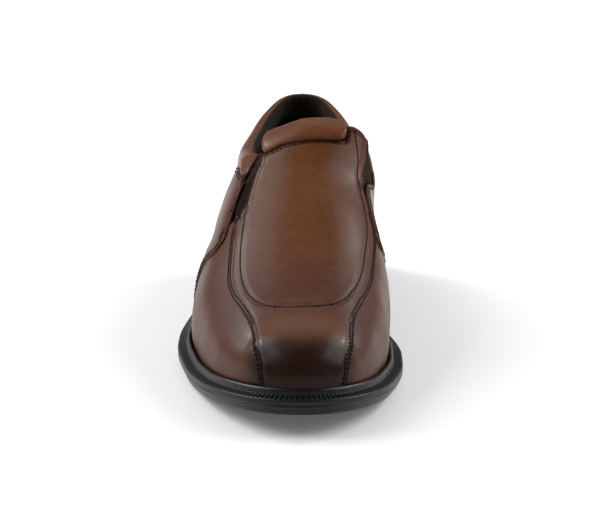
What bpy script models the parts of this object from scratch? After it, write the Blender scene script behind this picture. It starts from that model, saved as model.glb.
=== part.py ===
"""A right slip-on shoe: hollow leather upper, side gores, tongue pad, welt, rubber outsole and insole."""
import bmesh
import bpy
import numpy as np

# Every size and table is in millimetres; the meshes are made in metres
MM = 0.001
LATERAL = -1
MEDIAL = 1
GAP = 0.3

# Plan of the sole: station from the heel's back, lateral and medial edge before the ends are rounded
SOLE_LENGTH = 302.0
HEEL_ROUND = 36.0
TOE_ROUND = 52.0
TOE_CENTRE = 3.5
PLAN = np.array([
    (0, -33.5, 33.0), (38, -34.5, 33.5), (70, -37.0, 32.5), (100, -40.5, 30.0), (125, -45.0, 30.0),
    (145, -49.5, 33.0), (160, -53.0, 37.5), (175, -55.5, 43.0), (190, -56.0, 47.3), (205, -54.8, 49.3),
    (220, -52.0, 49.4), (235, -48.7, 48.0), (250, -44.3, 45.2), (270, -38.0, 41.5), (285, -34.2, 39.0),
    (302, -32.0, 37.0)])

# Edge of the sole: station, underside, top of the welt's rim, how far in the upper meets it
HEEL_FRONT = 73.0
HEEL_BREAST = 77.0
EDGE = np.array([
    (0, 0.0, 24.0, 5.8), (45, 0.0, 23.5, 5.8), (73, 0.0, 22.0, 5.8), (77, 9.0, 21.7, 5.8),
    (112, 9.5, 17.8, 6.0), (140, 4.5, 13.5, 6.4), (168, 0.0, 9.8, 6.8), (200, 0.0, 8.2, 7.2),
    (226, 0.0, 8.2, 7.3), (255, 2.8, 10.6, 7.3), (280, 6.4, 14.1, 7.3), (302, 9.6, 17.1, 7.3)])

# Sole and welt sections
WELT_BAND = 2.75
FLANGE_RISE = 1.0
SEAT_INSET = 12.4
BEAD_WIDTH = 2.0
BEAD_RISE = 3.2
RIB_DEPTH = 0.6
RIBS_PER_COLUMN = 5
INSOLE_THICKNESS = 3.0

# The upper's wall: share of the way round from heel to toe, then the lower handle's flare and rise,
# the upper handle's reach and drop, and where the wall ends on the ridge, throat or collar
WALL = ("share", "flare", "rise", "reach", "drop", "top_station", "top_x", "top_z")
LATERAL_WALL = np.array([
    (0.00, 3.5, 0.40, 1.5, 22, 5.5, 0.3, 91.0),
    (0.05, 3.5, 0.40, 1.5, 22, 7.5, -7.4, 90.5),
    (0.10, 4.0, 0.40, 2.0, 22, 14, -13.8, 88.6),
    (0.15, 4.0, 0.40, 3.0, 22, 27, -18.8, 85.8),
    (0.25, 3.5, 0.45, 4.0, 22, 58, -24.5, 81.6),
    (0.35, 3.5, 0.45, 7.0, 24, 92, -27.0, 81.0),
    (0.42, 3.5, 0.45, 10.0, 22, 119, -26.0, 83.6),
    (0.46, 3.0, 0.43, 14.0, 18, 133, -23.0, 86.8),
    (0.49, 2.5, 0.42, 17.5, 13, 140.5, -17.0, 89.4),
    (0.51, 2.5, 0.42, 24.0, 6.5, 144.2, -6.0, 95.0),
    (0.53, 3.0, 0.42, 32.0, 1, 146, 7.0, 99.6),
    (0.60, 5.0, 0.45, 30.0, 0, 172, 6.3, 84.0),
    (0.66, 6.0, 0.48, 27.0, 0, 193, 5.8, 73.5),
    (0.72, 5.5, 0.50, 25.0, 0, 213, 5.2, 63.5),
    (0.80, 4.0, 0.55, 22.0, 0, 237, 4.5, 53.0),
    (0.88, 2.8, 0.60, 20.0, 0, 254, 4.0, 46.5),
    (0.94, 2.2, 0.65, 20.0, 0, 264, 3.6, 43.3),
    (1.00, 2.0, 0.68, 20.0, 0, 268, 3.5, 42.0)])
MEDIAL_WALL = np.array([
    (0.00, 3.5, 0.40, 1.5, 22, 5.5, 0.3, 91.0),
    (0.05, 3.5, 0.40, 1.5, 22, 7.5, 7.8, 90.5),
    (0.10, 4.0, 0.40, 2.0, 22, 14, 14.5, 88.8),
    (0.15, 4.0, 0.40, 3.0, 22, 27, 19.6, 86.2),
    (0.25, 4.5, 0.45, 4.0, 22, 58, 26.0, 82.8),
    (0.35, 9.0, 0.45, 7.0, 26, 92, 29.5, 84.4),
    (0.42, 13.0, 0.45, 8.0, 26, 120, 32.0, 91.0),
    (0.46, 14.5, 0.45, 7.5, 24, 134, 32.5, 95.0),
    (0.493, 15.5, 0.45, 11.5, 13, 139.5, 25.0, 102.2),
    (0.512, 16.0, 0.45, 18.7, 6.5, 143.8, 17.0, 101.8),
    (0.53, 16.0, 0.45, 30.3, 1, 146, 7.0, 99.6),
    (0.60, 13.0, 0.45, 28.6, 0, 172, 6.3, 84.0),
    (0.66, 7.5, 0.48, 26.0, 0, 193, 5.8, 73.5),
    (0.72, 5.0, 0.50, 25.0, 0, 213, 5.2, 63.5),
    (0.80, 3.5, 0.55, 22.0, 0, 237, 4.5, 53.0),
    (0.88, 2.8, 0.60, 20.0, 0, 254, 4.0, 46.5),
    (0.94, 2.2, 0.65, 20.0, 0, 264, 3.6, 43.3),
    (1.00, 2.0, 0.68, 20.0, 0, 268, 3.5, 42.0)])
THROAT_SHARE = 0.53
COLLAR_SHARE = 0.40
WALL_THICKNESS = 2.2
COLLAR_PADDING = 2.2
OVERLAY_THICKNESS = 1.1
OVERLAY_GAP = 0.7

# Edge of the centre panel: share and height on the wall, and the matching place on the middle line,
# which counts 0 to 1 up the toe and 1 to 2 back along the ridge
PANEL_EDGE = {
    LATERAL: np.array([
        (0.936, 0.090, 0.090), (0.926, 0.28, 0.30), (0.894, 0.475, 0.62), (0.838, 0.556, 1.064),
        (0.793, 0.544, 1.298), (0.753, 0.517, 1.447), (0.711, 0.510, 1.564), (0.662, 0.540, 1.691),
        (0.600, 0.565, 1.809), (0.571, 0.606, 1.883), (0.534, 0.668, 1.947), (0.503, 0.920, 1.995)]),
    MEDIAL: np.array([
        (0.923, 0.090, 0.090), (0.914, 0.26, 0.30), (0.890, 0.440, 0.62), (0.837, 0.560, 1.064),
        (0.793, 0.564, 1.298), (0.753, 0.542, 1.447), (0.711, 0.523, 1.564), (0.662, 0.520, 1.691),
        (0.600, 0.550, 1.809), (0.566, 0.600, 1.883), (0.520, 0.680, 1.947), (0.481, 0.930, 1.995)])}

# Front edge of the quarters: height on the wall and share of the way round
QUARTER_EDGE = {
    LATERAL: np.array([
        (0.00, 0.545), (0.29, 0.571), (0.39, 0.589), (0.44, 0.590), (0.47, 0.575), (0.50, 0.550),
        (0.54, 0.538), (0.60, 0.521), (0.73, 0.503), (0.98, 0.484)]),
    MEDIAL: np.array([
        (0.00, 0.540), (0.29, 0.566), (0.39, 0.581), (0.44, 0.582), (0.47, 0.567), (0.50, 0.544),
        (0.54, 0.530), (0.60, 0.509), (0.73, 0.486), (0.98, 0.458)])}

# Slit over each gore: share and height of its quarter side, then of its vamp side, from top to bottom
GORE_SLIT = {
    LATERAL: np.array([
        (0.491, 0.930, 0.497, 0.910), (0.508, 0.726, 0.524, 0.690), (0.529, 0.583, 0.551, 0.637),
        (0.542, 0.537, 0.567, 0.600), (0.556, 0.515, 0.577, 0.572)]),
    MEDIAL: np.array([
        (0.465, 0.930, 0.473, 0.920), (0.490, 0.726, 0.510, 0.700), (0.517, 0.583, 0.546, 0.637),
        (0.533, 0.537, 0.562, 0.595), (0.550, 0.515, 0.572, 0.565)])}
GORE_MARGIN = 0.014
GORE_GAP = 1.3

# Tongue pad behind the throat
PAD_LENGTH = 17.0
PAD_THICKNESS = 7.0
PAD_LEAN = 0.42
PAD_BACK = 2.0
PAD_SINK = 1.2

# How finely the pieces are divided
SOLE_SHARES = 32
WALL_ROWS = 11
WALL_SHARES = np.concatenate([
    np.linspace(0, 0.16, 8)[:-1], np.linspace(0.16, 0.40, 6)[:-1], np.linspace(0.40, 0.44, 3)[:-1],
    np.linspace(0.44, THROAT_SHARE, 10)[:-1], np.linspace(THROAT_SHARE, 0.88, 11)[:-1],
    np.linspace(0.88, 1, 7)])
QUARTER_PLAIN_SHARE = 0.44


def through(points, values):
    """A smooth curve through a table's rows that never swings past them."""
    points = np.asarray(points, float)
    values = np.asarray(values, float)
    step = np.diff(points)
    rise = np.diff(values) / step
    slope = np.empty_like(values)
    slope[0] = rise[0]
    slope[-1] = rise[-1]
    before = rise[:-1]
    after = rise[1:]
    mean = (before * step[1:] + after * step[:-1]) / (step[:-1] + step[1:])
    limit = 3 * np.minimum(abs(before), abs(after))
    slope[1:-1] = np.where(before * after > 0, np.sign(mean) * np.minimum(abs(mean), limit), 0)

    def value(place):
        place = np.asarray(place, float)
        row = np.clip(np.searchsorted(points, place, side="right") - 1, 0, len(points) - 2)
        width = step[row]
        part = np.clip((place - points[row]) / width, 0, 1)
        start = (1 + 2 * part) * (1 - part) ** 2 * values[row] + part * (1 - part) ** 2 * width * slope[row]
        end = part ** 2 * (3 - 2 * part) * values[row + 1] + part ** 2 * (part - 1) * width * slope[row + 1]
        return start + end
    return value


underside_at = through(EDGE[:, 0], EDGE[:, 1])
rim_at = through(EDGE[:, 0], EDGE[:, 2])
inset_at = through(EDGE[:, 0], EDGE[:, 3])
edge_x_at = {LATERAL: through(PLAN[:, 0], PLAN[:, 1]), MEDIAL: through(PLAN[:, 0], PLAN[:, 2])}
wall_curves = {}
for side_of_wall, wall_table in ((LATERAL, LATERAL_WALL), (MEDIAL, MEDIAL_WALL)):
    opening = wall_table[wall_table[:, 0] <= THROAT_SHARE]
    wall_curves[side_of_wall] = {}
    for place, name in enumerate(WALL[1:], 1):
        rows = opening if name.startswith("top") else wall_table
        wall_curves[side_of_wall][name] = through(rows[:, 0], rows[:, place])
# From the throat to the toe both halves end on one ridge
ridge_rows = LATERAL_WALL[LATERAL_WALL[:, 0] >= THROAT_SHARE]
ridge_curves = {name: through(ridge_rows[:, 0], ridge_rows[:, WALL.index(name)]) for name in WALL[5:]}


def half_outline(side):
    """One half of the sole's edge from heel to toe: points, outward directions, stations and shares."""
    station = SOLE_LENGTH * (1 - np.cos(np.pi * np.linspace(0, 1, 600))) / 2
    heel = np.clip((HEEL_ROUND - station) / HEEL_ROUND, 0, 1)
    toe = np.clip((station - SOLE_LENGTH + TOE_ROUND) / TOE_ROUND, 0, 1)
    across = edge_x_at[side](station) * np.sqrt(1 - heel ** 2.2)
    across = TOE_CENTRE + (across - TOE_CENTRE) * np.sqrt(1 - toe ** 2.6)
    points = np.stack([across, SOLE_LENGTH / 2 - station], 1)
    along = np.gradient(points, axis=0)
    along[0] = (side, 0)
    along[-1] = (-side, 0)
    along /= np.linalg.norm(along, axis=1)[:, None]
    outward = np.stack([along[:, 1], -along[:, 0]], 1) * -side
    run = np.concatenate([[0], np.cumsum(np.linalg.norm(np.diff(points, axis=0), axis=1))])
    return points, outward, station, run / run[-1]


halves = {LATERAL: half_outline(LATERAL), MEDIAL: half_outline(MEDIAL)}
CENTRE_X = (halves[LATERAL][0][:, 0].min() + halves[MEDIAL][0][:, 0].max()) / 2


def edge_at(side, share):
    """Place, outward direction and station on the sole's edge."""
    points, outward, station, shares = halves[side]
    x, y = (np.interp(share, shares, points[:, axis]) for axis in (0, 1))
    out_x, out_y = (np.interp(share, shares, outward[:, axis]) for axis in (0, 1))
    size = np.hypot(out_x, out_y)
    return x, y, out_x / size, out_y / size, np.interp(share, shares, station)


def share_at(side, station):
    return float(np.interp(station, halves[side][2], halves[side][3]))


def wall_handles(side, share):
    """The four control points of the wall's curve at a share of the way round."""
    curve = {name: wall_curves[side][name](share) for name in WALL[1:]}
    for name, ridge in ridge_curves.items():
        curve[name] = np.where(share < THROAT_SHARE, curve[name], ridge(share))
    x, y, out_x, out_y, station = edge_at(side, share)
    inset = inset_at(station)
    foot_y = y - out_y * inset
    foot = np.stack([x - out_x * inset, foot_y, rim_at(SOLE_LENGTH / 2 - foot_y) + FLANGE_RISE + GAP], -1)
    top = np.stack([curve["top_x"], SOLE_LENGTH / 2 - curve["top_station"], curve["top_z"]], -1)
    height = top[..., 2] - foot[..., 2]
    low = foot + np.stack([out_x * curve["flare"], out_y * curve["flare"], curve["rise"] * height], -1)
    across = foot[..., :2] - top[..., :2]
    across = across / np.linalg.norm(across, axis=-1)[..., None]
    blend = np.clip((share - COLLAR_SHARE) / (THROAT_SHARE - COLLAR_SHARE), 0, 1)[..., None]
    blend = blend * blend * (3 - 2 * blend)
    across = np.stack([out_x, out_y], -1) * (1 - blend) + across * blend
    across = across / np.linalg.norm(across, axis=-1)[..., None]
    # The ridge's own slope joins both halves in one smooth surface
    back = np.clip(share, THROAT_SHARE, 0.992)
    rise = ridge_curves["top_z"](back + 0.004) - ridge_curves["top_z"](back)
    run = ridge_curves["top_station"](back + 0.004) - ridge_curves["top_station"](back)
    fall = -rise / run * across[..., 1] * np.clip((share - THROAT_SHARE + 0.06) / 0.06, 0, 1)
    high = top + np.concatenate([across, fall[..., None]], -1) * curve["reach"][..., None]
    high[..., 2] -= curve["drop"]
    return foot, low, high, top


def wall_point(side, share, height):
    """A point of the upper's outer face."""
    share, height = np.broadcast_arrays(np.asarray(share, float), np.asarray(height, float))
    foot, low, high, top = wall_handles(side, share)
    up = height[..., None]
    down = 1 - up
    return down ** 3 * foot + 3 * up * down ** 2 * low + 3 * up ** 2 * down * high + up ** 3 * top


def wall_normal(side, share, height):
    step = 0.002
    ahead = wall_point(side, np.minimum(share + step, 1), height)
    behind = wall_point(side, np.maximum(share - step, 0), height)
    above = wall_point(side, share, np.minimum(height + step, 1))
    below = wall_point(side, share, np.maximum(height - step, 0))
    normal = np.cross(ahead - behind, above - below) * -side
    return normal / np.linalg.norm(normal, axis=-1)[..., None]


def lifted(side, share, height, distance):
    return wall_point(side, share, height) + wall_normal(side, share, height) * distance


def add_solid(name, points, faces, material):
    """One closed body from points in millimetres, faces outward."""
    points = (np.asarray(points, float).reshape(-1, 3) - (CENTRE_X, 0, 0)) * MM
    body = bmesh.new()
    corners = [body.verts.new(point) for point in points]
    for face in faces:
        loop = list(dict.fromkeys(face))
        body.faces.new([corners[corner] for corner in loop])
    bmesh.ops.remove_doubles(body, verts=body.verts, dist=1e-7)
    bmesh.ops.triangulate(body, faces=body.faces)
    bmesh.ops.recalc_face_normals(body, faces=body.faces)
    mesh = bpy.data.meshes.new(name)
    body.to_mesh(mesh)
    body.free()
    mesh.materials.append(material)
    solid = bpy.data.objects.new(name, mesh)
    bpy.context.scene.collection.objects.link(solid)
    return solid


def add_material(name, colour, roughness):
    material = bpy.data.materials.new(name)
    material.use_nodes = True
    shader = material.node_tree.nodes["Principled BSDF"]
    shader.inputs["Base Color"].default_value = (*colour, 1)
    shader.inputs["Roughness"].default_value = roughness
    return material


def block_faces(rows, columns, first, second):
    """Faces of a thick sheet whose two skins are grids that start at first and second."""
    faces = []
    for row in range(rows - 1):
        for column in range(columns - 1):
            a = row * columns + column
            b = a + columns
            faces.append((first + a, first + a + 1, first + b + 1, first + b))
            faces.append((second + a, second + b, second + b + 1, second + a + 1))
    border = [column for column in range(columns)]
    border += [row * columns + columns - 1 for row in range(1, rows)]
    border += [(rows - 1) * columns + column for column in range(columns - 2, -1, -1)]
    border += [row * columns for row in range(rows - 2, 0, -1)]
    for here, after in zip(border, border[1:] + border[:1]):
        faces.append((first + here, second + here, second + after, first + after))
    return faces


def add_sheet(name, outer, inner, material):
    rows, columns = outer.shape[:2]
    faces = block_faces(rows, columns, 0, rows * columns)
    return add_solid(name, np.concatenate([outer.reshape(-1, 3), inner.reshape(-1, 3)]), faces, material)


def sole_shares(side, extra=()):
    shares = list(np.linspace(0, 1, SOLE_SHARES + 1))
    shares += [share_at(side, station) for station in extra]
    return np.array(sorted(shares))


def sole_ring(inset, height, extra=()):
    """A closed ring round the sole: lateral from heel to toe, then medial back to the heel."""
    points = []
    for side in (LATERAL, MEDIAL):
        shares = sole_shares(side, extra)
        if side == MEDIAL:
            shares = shares[-2:0:-1]
        x, y, out_x, out_y, station = edge_at(side, shares)
        reach = inset(side, shares, station) if callable(inset) else inset
        own_y = y - out_y * reach
        points.append(np.stack([x - out_x * reach, own_y, height(SOLE_LENGTH / 2 - own_y)], 1))
    return np.concatenate(points)


def ring_faces(count, first, second):
    after = [(k + 1) % count for k in range(count)]
    return [(first + k, first + after[k], second + after[k], second + k) for k in range(count)]


def cap_faces(count, first):
    """A lid across a ring, in strips from the lateral to the medial edge."""
    faces = []
    for k in range(count // 2):
        medial_here = (count - k) % count
        faces.append((first + k, first + k + 1, first + count - k - 1, first + medial_here))
    return faces


def stacked_solid(name, rings, material):
    count = len(rings[0])
    faces = cap_faces(count, 0) + cap_faces(count, (len(rings) - 1) * count)
    for k in range(len(rings) - 1):
        faces += ring_faces(count, k * count, (k + 1) * count)
    return add_solid(name, np.concatenate(rings), faces, material)


def split_at(station):
    return rim_at(station) - WELT_BAND


def make_outsole(material):
    breast = (HEEL_FRONT, HEEL_BREAST)
    rings = [
        sole_ring(4.0, underside_at, breast),
        sole_ring(1.6, lambda station: underside_at(station) + 1.2, breast),
        sole_ring(0.8, lambda station: underside_at(station) + 3.0, breast),
        sole_ring(0.8, lambda station: split_at(station) - GAP, breast),
        sole_ring(SEAT_INSET + GAP, lambda station: split_at(station) - GAP, breast),
        sole_ring(SEAT_INSET + GAP, lambda station: rim_at(station) + FLANGE_RISE, breast)]
    return stacked_solid("outsole", rings, material)


def bead_inset(side, share, station):
    """How far in the bead's inner face stands, clear of the wall that leans over it."""
    foot, low, _, _ = wall_handles(side, share)
    lean = wall_curves[side]["flare"](share) / (low[..., 2] - foot[..., 2])
    return inset_at(station) - lean * (BEAD_RISE - FLANGE_RISE) - 0.4


def welt_ring(inset, height, parts=1, rib=0.0, inside=False):
    """A ring of the welt, divided more finely where the ribs run; every second point dips by a rib.

    Rings outside the upper keep the height of the rim beside them, rings inside follow their own station.
    """
    points = []
    for side in (LATERAL, MEDIAL):
        shares = np.linspace(0, 1, SOLE_SHARES * parts + 1)
        shares = shares[:-1] if side == LATERAL else shares[:0:-1]
        x, y, out_x, out_y, station = edge_at(side, shares)
        reach = inset(side, shares, station)
        own_y = y - out_y * reach
        dip = rib * (np.arange(len(shares)) % 2)
        place = SOLE_LENGTH / 2 - own_y if inside else station
        points.append(np.stack([x - out_x * reach, own_y, height(place) - dip], 1))
    return np.concatenate(points)


def make_welt(material):
    def fixed(distance):
        return lambda side, share, station: np.full(np.shape(share), distance)

    def beside_bead(distance):
        return lambda side, share, station: bead_inset(side, share, station) - distance

    coarse = SOLE_SHARES * 2
    fine = coarse * RIBS_PER_COLUMN
    rings = [
        welt_ring(fixed(0.0), split_at),
        welt_ring(fixed(0.0), lambda station: rim_at(station) - 0.5),
        welt_ring(fixed(0.5), rim_at),
        welt_ring(fixed(1.2), rim_at, RIBS_PER_COLUMN, RIB_DEPTH),
        welt_ring(beside_bead(BEAD_WIDTH + 0.3), lambda station: rim_at(station) + 0.9,
                  RIBS_PER_COLUMN, RIB_DEPTH),
        welt_ring(beside_bead(BEAD_WIDTH), lambda station: rim_at(station) + 1.2),
        welt_ring(beside_bead(BEAD_WIDTH * 0.9), lambda station: rim_at(station) + 2.5),
        welt_ring(beside_bead(BEAD_WIDTH * 0.5), lambda station: rim_at(station) + BEAD_RISE),
        welt_ring(beside_bead(0.0), lambda station: rim_at(station) + 2.5),
        welt_ring(beside_bead(0.0), lambda station: rim_at(station) + FLANGE_RISE, inside=True),
        welt_ring(fixed(SEAT_INSET), lambda station: rim_at(station) + FLANGE_RISE, inside=True),
        welt_ring(fixed(SEAT_INSET), split_at, inside=True)]
    starts = np.cumsum([0] + [len(ring) for ring in rings])
    faces = []
    for k in range(len(rings)):
        after = (k + 1) % len(rings)
        here_count = len(rings[k])
        after_count = len(rings[after])
        if here_count == after_count:
            faces += ring_faces(here_count, starts[k], starts[after])
            continue
        # Where a plain ring meets a ribbed one, each plain edge fans out to its ribs
        plain, ribbed = (k, after) if here_count == coarse else (after, k)
        for j in range(coarse):
            own = j * RIBS_PER_COLUMN
            halfway = RIBS_PER_COLUMN // 2
            for m in range(RIBS_PER_COLUMN):
                apex = starts[plain] + (j if m < halfway else (j + 1) % coarse)
                next_rib = starts[ribbed] + (own + m + 1) % fine
                faces.append((apex, starts[ribbed] + own + m, next_rib))
            next_plain = starts[plain] + (j + 1) % coarse
            faces.append((starts[plain] + j, next_plain, starts[ribbed] + own + halfway))
    return add_solid("welt", np.concatenate(rings), faces, material)


def make_insole(material):
    def inside_wall(side, share, station):
        return inset_at(station) + WALL_THICKNESS + 0.6

    rings = [
        sole_ring(inside_wall, lambda station: rim_at(station) + FLANGE_RISE + GAP),
        sole_ring(inside_wall, lambda station: rim_at(station) + FLANGE_RISE + GAP + INSOLE_THICKNESS)]
    return stacked_solid("insole", rings, material)


def wall_thickness(share, height):
    """The wall, thicker where the collar is padded."""
    collar = np.clip((0.47 - share) / 0.07, 0, 1) * np.clip((height - 0.72) / 0.2, 0, 1)
    return WALL_THICKNESS + COLLAR_PADDING * collar * collar * (3 - 2 * collar)


def make_upper(material):
    """The hollow upper: an outer grid, the same grid set in by the wall, and the two rims between them."""
    heights = np.linspace(0, 1, WALL_ROWS + 1)
    body = bmesh.new()
    depth = body.verts.layers.float.new("depth")
    for side in (LATERAL, MEDIAL):
        share, height = np.meshgrid(WALL_SHARES, heights, indexing="ij")
        points = (wall_point(side, share, height) - (CENTRE_X, 0, 0)) * MM
        thickness = wall_thickness(share, height) * MM
        grid = []
        for row in range(len(WALL_SHARES)):
            grid.append([body.verts.new(point) for point in points[row]])
            for column, vertex in enumerate(grid[row]):
                vertex[depth] = thickness[row, column]
        for row in range(len(WALL_SHARES) - 1):
            for column in range(WALL_ROWS):
                here = grid[row]
                ahead = grid[row + 1]
                loop = (here[column], ahead[column], ahead[column + 1], here[column + 1])
                body.faces.new(loop if side == LATERAL else loop[::-1])
    bmesh.ops.remove_doubles(body, verts=body.verts, dist=1e-6)
    body.normal_update()
    outer_faces = list(body.faces)
    outer_verts = list(body.verts)
    rim_edges = [edge for edge in body.edges if edge.is_boundary]
    inner = {}
    for vertex in outer_verts:
        place = vertex.co - vertex.normal * vertex[depth]
        if any(edge.is_boundary for edge in vertex.link_edges) and vertex.co.z < 30 * MM:
            place.z = vertex.co.z
        inner[vertex] = body.verts.new(place)
    for face in outer_faces:
        body.faces.new([inner[vertex] for vertex in reversed(face.verts)])
    for edge in rim_edges:
        first, second = edge.verts
        body.faces.new((first, second, inner[second], inner[first]))
    bmesh.ops.triangulate(body, faces=body.faces)
    bmesh.ops.recalc_face_normals(body, faces=body.faces)
    mesh = bpy.data.meshes.new("upper")
    body.to_mesh(mesh)
    body.free()
    mesh.materials.append(material)
    upper = bpy.data.objects.new("upper", mesh)
    bpy.context.scene.collection.objects.link(upper)
    return upper


def between(first, second, along, across):
    """Shares and heights of a patch between two edges given as rows of share and height."""
    place = np.linspace(0, 1, len(first))
    fine = np.linspace(0, 1, along)
    low = np.stack([through(place, first[:, k])(fine) for k in (0, 1)], -1)
    high = np.stack([through(place, second[:, k])(fine) for k in (0, 1)], -1)
    mix = np.linspace(0, 1, across)[None, :, None]
    return low[:, None] * (1 - mix) + high[:, None] * mix


def cut_slit(upper, side, name):
    slit = between(GORE_SLIT[side][:, :2], GORE_SLIT[side][:, 2:], 13, 3)
    outer = lifted(side, slit[..., 0], slit[..., 1], 3.0)
    inner = lifted(side, slit[..., 0], slit[..., 1], -WALL_THICKNESS - 3.0)
    cutter = add_sheet(name, outer, inner, upper.data.materials[0])
    cut = upper.modifiers.new(name, "BOOLEAN")
    cut.operation = "DIFFERENCE"
    cut.solver = "EXACT"
    cut.object = cutter
    cutter.hide_render = True
    cutter.display_type = "WIRE"


def make_gore(name, side, material):
    """Elastic behind the slit, reaching past both its edges under the wall."""
    quarter_side = GORE_SLIT[side][:, :2] + (-GORE_MARGIN, -0.035)
    vamp_side = GORE_SLIT[side][:, 2:] + (GORE_MARGIN, 0.0)
    gore = between(quarter_side, vamp_side, 9, 5)
    outer = lifted(side, gore[..., 0], gore[..., 1], -WALL_THICKNESS - GORE_GAP)
    inner = lifted(side, gore[..., 0], gore[..., 1], -WALL_THICKNESS - GORE_GAP - 1.2)
    return add_sheet(name, outer, inner, material)


def make_panel(material):
    """Centre panel from the toe to the throat, laid over the wall between its two edges."""
    along = 26
    half = 5
    outer = []
    inner = []
    for side in (LATERAL, MEDIAL):
        table = PANEL_EDGE[side]
        place = np.linspace(0, 1, len(table))
        fine = np.linspace(0, 1, along)
        edge = np.stack([through(place, table[:, k])(fine) for k in (0, 1)], -1)
        middle = through(place, table[:, 2])(fine)
        share = np.where(middle < 1, 1, 1 - (middle - 1) * (1 - THROAT_SHARE))
        height = np.minimum(middle, 0.9995)
        mix = np.linspace(0, 1, half + 1)[None, :, None]
        patch = edge[:, None] * (1 - mix) + np.stack([share, height], -1)[:, None] * mix
        outer.append(lifted(side, patch[..., 0], patch[..., 1], OVERLAY_GAP + OVERLAY_THICKNESS))
        inner.append(lifted(side, patch[..., 0], patch[..., 1], OVERLAY_GAP))
    skins = []
    for lateral, medial in (outer, inner):
        middle = (lateral[:, -1:] + medial[:, -1:]) / 2
        skins.append(np.concatenate([lateral[:, :-1], middle, medial[:, -2::-1]], 1))
    return add_sheet("vamp_panel", skins[0], skins[1], material)


def make_quarter(material):
    """Quarters in one piece round the heel, from gore to gore."""
    heights = np.concatenate([np.linspace(0.05, 0.38, 5), QUARTER_EDGE[LATERAL][3:-1, 0], (0.85, 0.975)])
    plain = WALL_SHARES[WALL_SHARES < QUARTER_PLAIN_SHARE]
    skins = []
    for lift in (OVERLAY_GAP + OVERLAY_THICKNESS, OVERLAY_GAP):
        parts = []
        for side in (LATERAL, MEDIAL):
            front = through(QUARTER_EDGE[side][:, 0], QUARTER_EDGE[side][:, 1])(heights)[:, None]
            last = plain[-1] + (front - plain[-1]) * np.linspace(0, 1, 8)[None, 1:]
            share = np.concatenate([np.broadcast_to(plain, (len(heights), len(plain))), last], 1)
            share = share[:, ::-1] if side == LATERAL else share[:, 1:]
            parts.append(lifted(side, share, np.broadcast_to(heights[:, None], share.shape), lift))
        skins.append(np.concatenate(parts, 1))
    return add_sheet("quarters", skins[0], skins[1], material)


def make_tongue(material):
    """Padded end of the tongue: a flat roll laid along the throat, closed by rounded ends."""
    lateral = wall_point(LATERAL, np.linspace(0.496, THROAT_SHARE, 8), 1.0)
    medial = wall_point(MEDIAL, np.linspace(THROAT_SHARE, 0.506, 6), 1.0)[1:]
    line = np.concatenate([lateral, medial])
    count = 12
    angle = np.linspace(0, 2 * np.pi, count, endpoint=False)
    swell = np.sqrt(np.clip(1 - abs(np.linspace(-1, 1, len(line))) ** 6, 0.08, 1))
    rings = []
    for place, size in zip(line, swell):
        reach = PAD_LENGTH / 2 * (1 + np.cos(angle) * (0.75 + 0.25 * size))
        thick = PAD_THICKNESS / 2 * np.sin(angle) * size
        back = reach * np.cos(PAD_LEAN) + PAD_BACK - thick * np.sin(PAD_LEAN)
        up = reach * np.sin(PAD_LEAN) + thick * np.cos(PAD_LEAN) - PAD_SINK
        rings.append(np.stack([np.full(count, place[0]), place[1] + back, place[2] + up], 1))
    faces = []
    for k in range(len(line) - 1):
        faces += ring_faces(count, k * count, (k + 1) * count)
    faces.append(tuple(range(count)))
    faces.append(tuple(range((len(line) - 1) * count, len(line) * count)))
    return add_solid("tongue_pad", rings, faces, material)


def build_shoe():
    leather = add_material("brown_leather", (0.13, 0.05, 0.025), 0.35)
    lining = add_material("dark_lining", (0.02, 0.013, 0.01), 0.8)
    rubber = add_material("black_rubber", (0.02, 0.02, 0.02), 0.5)
    elastic = add_material("brown_elastic", (0.05, 0.03, 0.02), 0.85)
    make_outsole(rubber)
    make_welt(rubber)
    make_insole(lining)
    upper = make_upper(leather)
    cut_slit(upper, LATERAL, "lateral_slit_cutter")
    cut_slit(upper, MEDIAL, "medial_slit_cutter")
    make_gore("gore_lateral", LATERAL, elastic)
    make_gore("gore_medial", MEDIAL, elastic)
    make_panel(leather)
    make_quarter(leather)
    make_tongue(leather)


for old in list(bpy.data.objects):
    bpy.data.objects.remove(old)
build_shoe()
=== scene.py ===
import bmesh
import bpy
import numpy as np
from mathutils import Matrix, Vector
from mathutils.bvhtree import BVHTree


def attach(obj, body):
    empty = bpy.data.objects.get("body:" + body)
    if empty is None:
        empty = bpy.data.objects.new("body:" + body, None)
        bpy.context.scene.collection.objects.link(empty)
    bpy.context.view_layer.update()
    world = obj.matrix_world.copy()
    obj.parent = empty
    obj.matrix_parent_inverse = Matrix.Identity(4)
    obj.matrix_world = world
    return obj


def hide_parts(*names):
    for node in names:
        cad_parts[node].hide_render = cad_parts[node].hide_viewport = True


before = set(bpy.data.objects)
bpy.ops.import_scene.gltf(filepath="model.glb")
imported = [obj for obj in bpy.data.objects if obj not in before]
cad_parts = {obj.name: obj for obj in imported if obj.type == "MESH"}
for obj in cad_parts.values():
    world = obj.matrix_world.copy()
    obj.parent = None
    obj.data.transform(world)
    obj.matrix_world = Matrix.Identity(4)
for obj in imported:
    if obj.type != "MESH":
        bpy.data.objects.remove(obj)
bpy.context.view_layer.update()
print("frame loaded:", len(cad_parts), "solids")

mm = 0.001
lateral, medial = -1, 1

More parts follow.
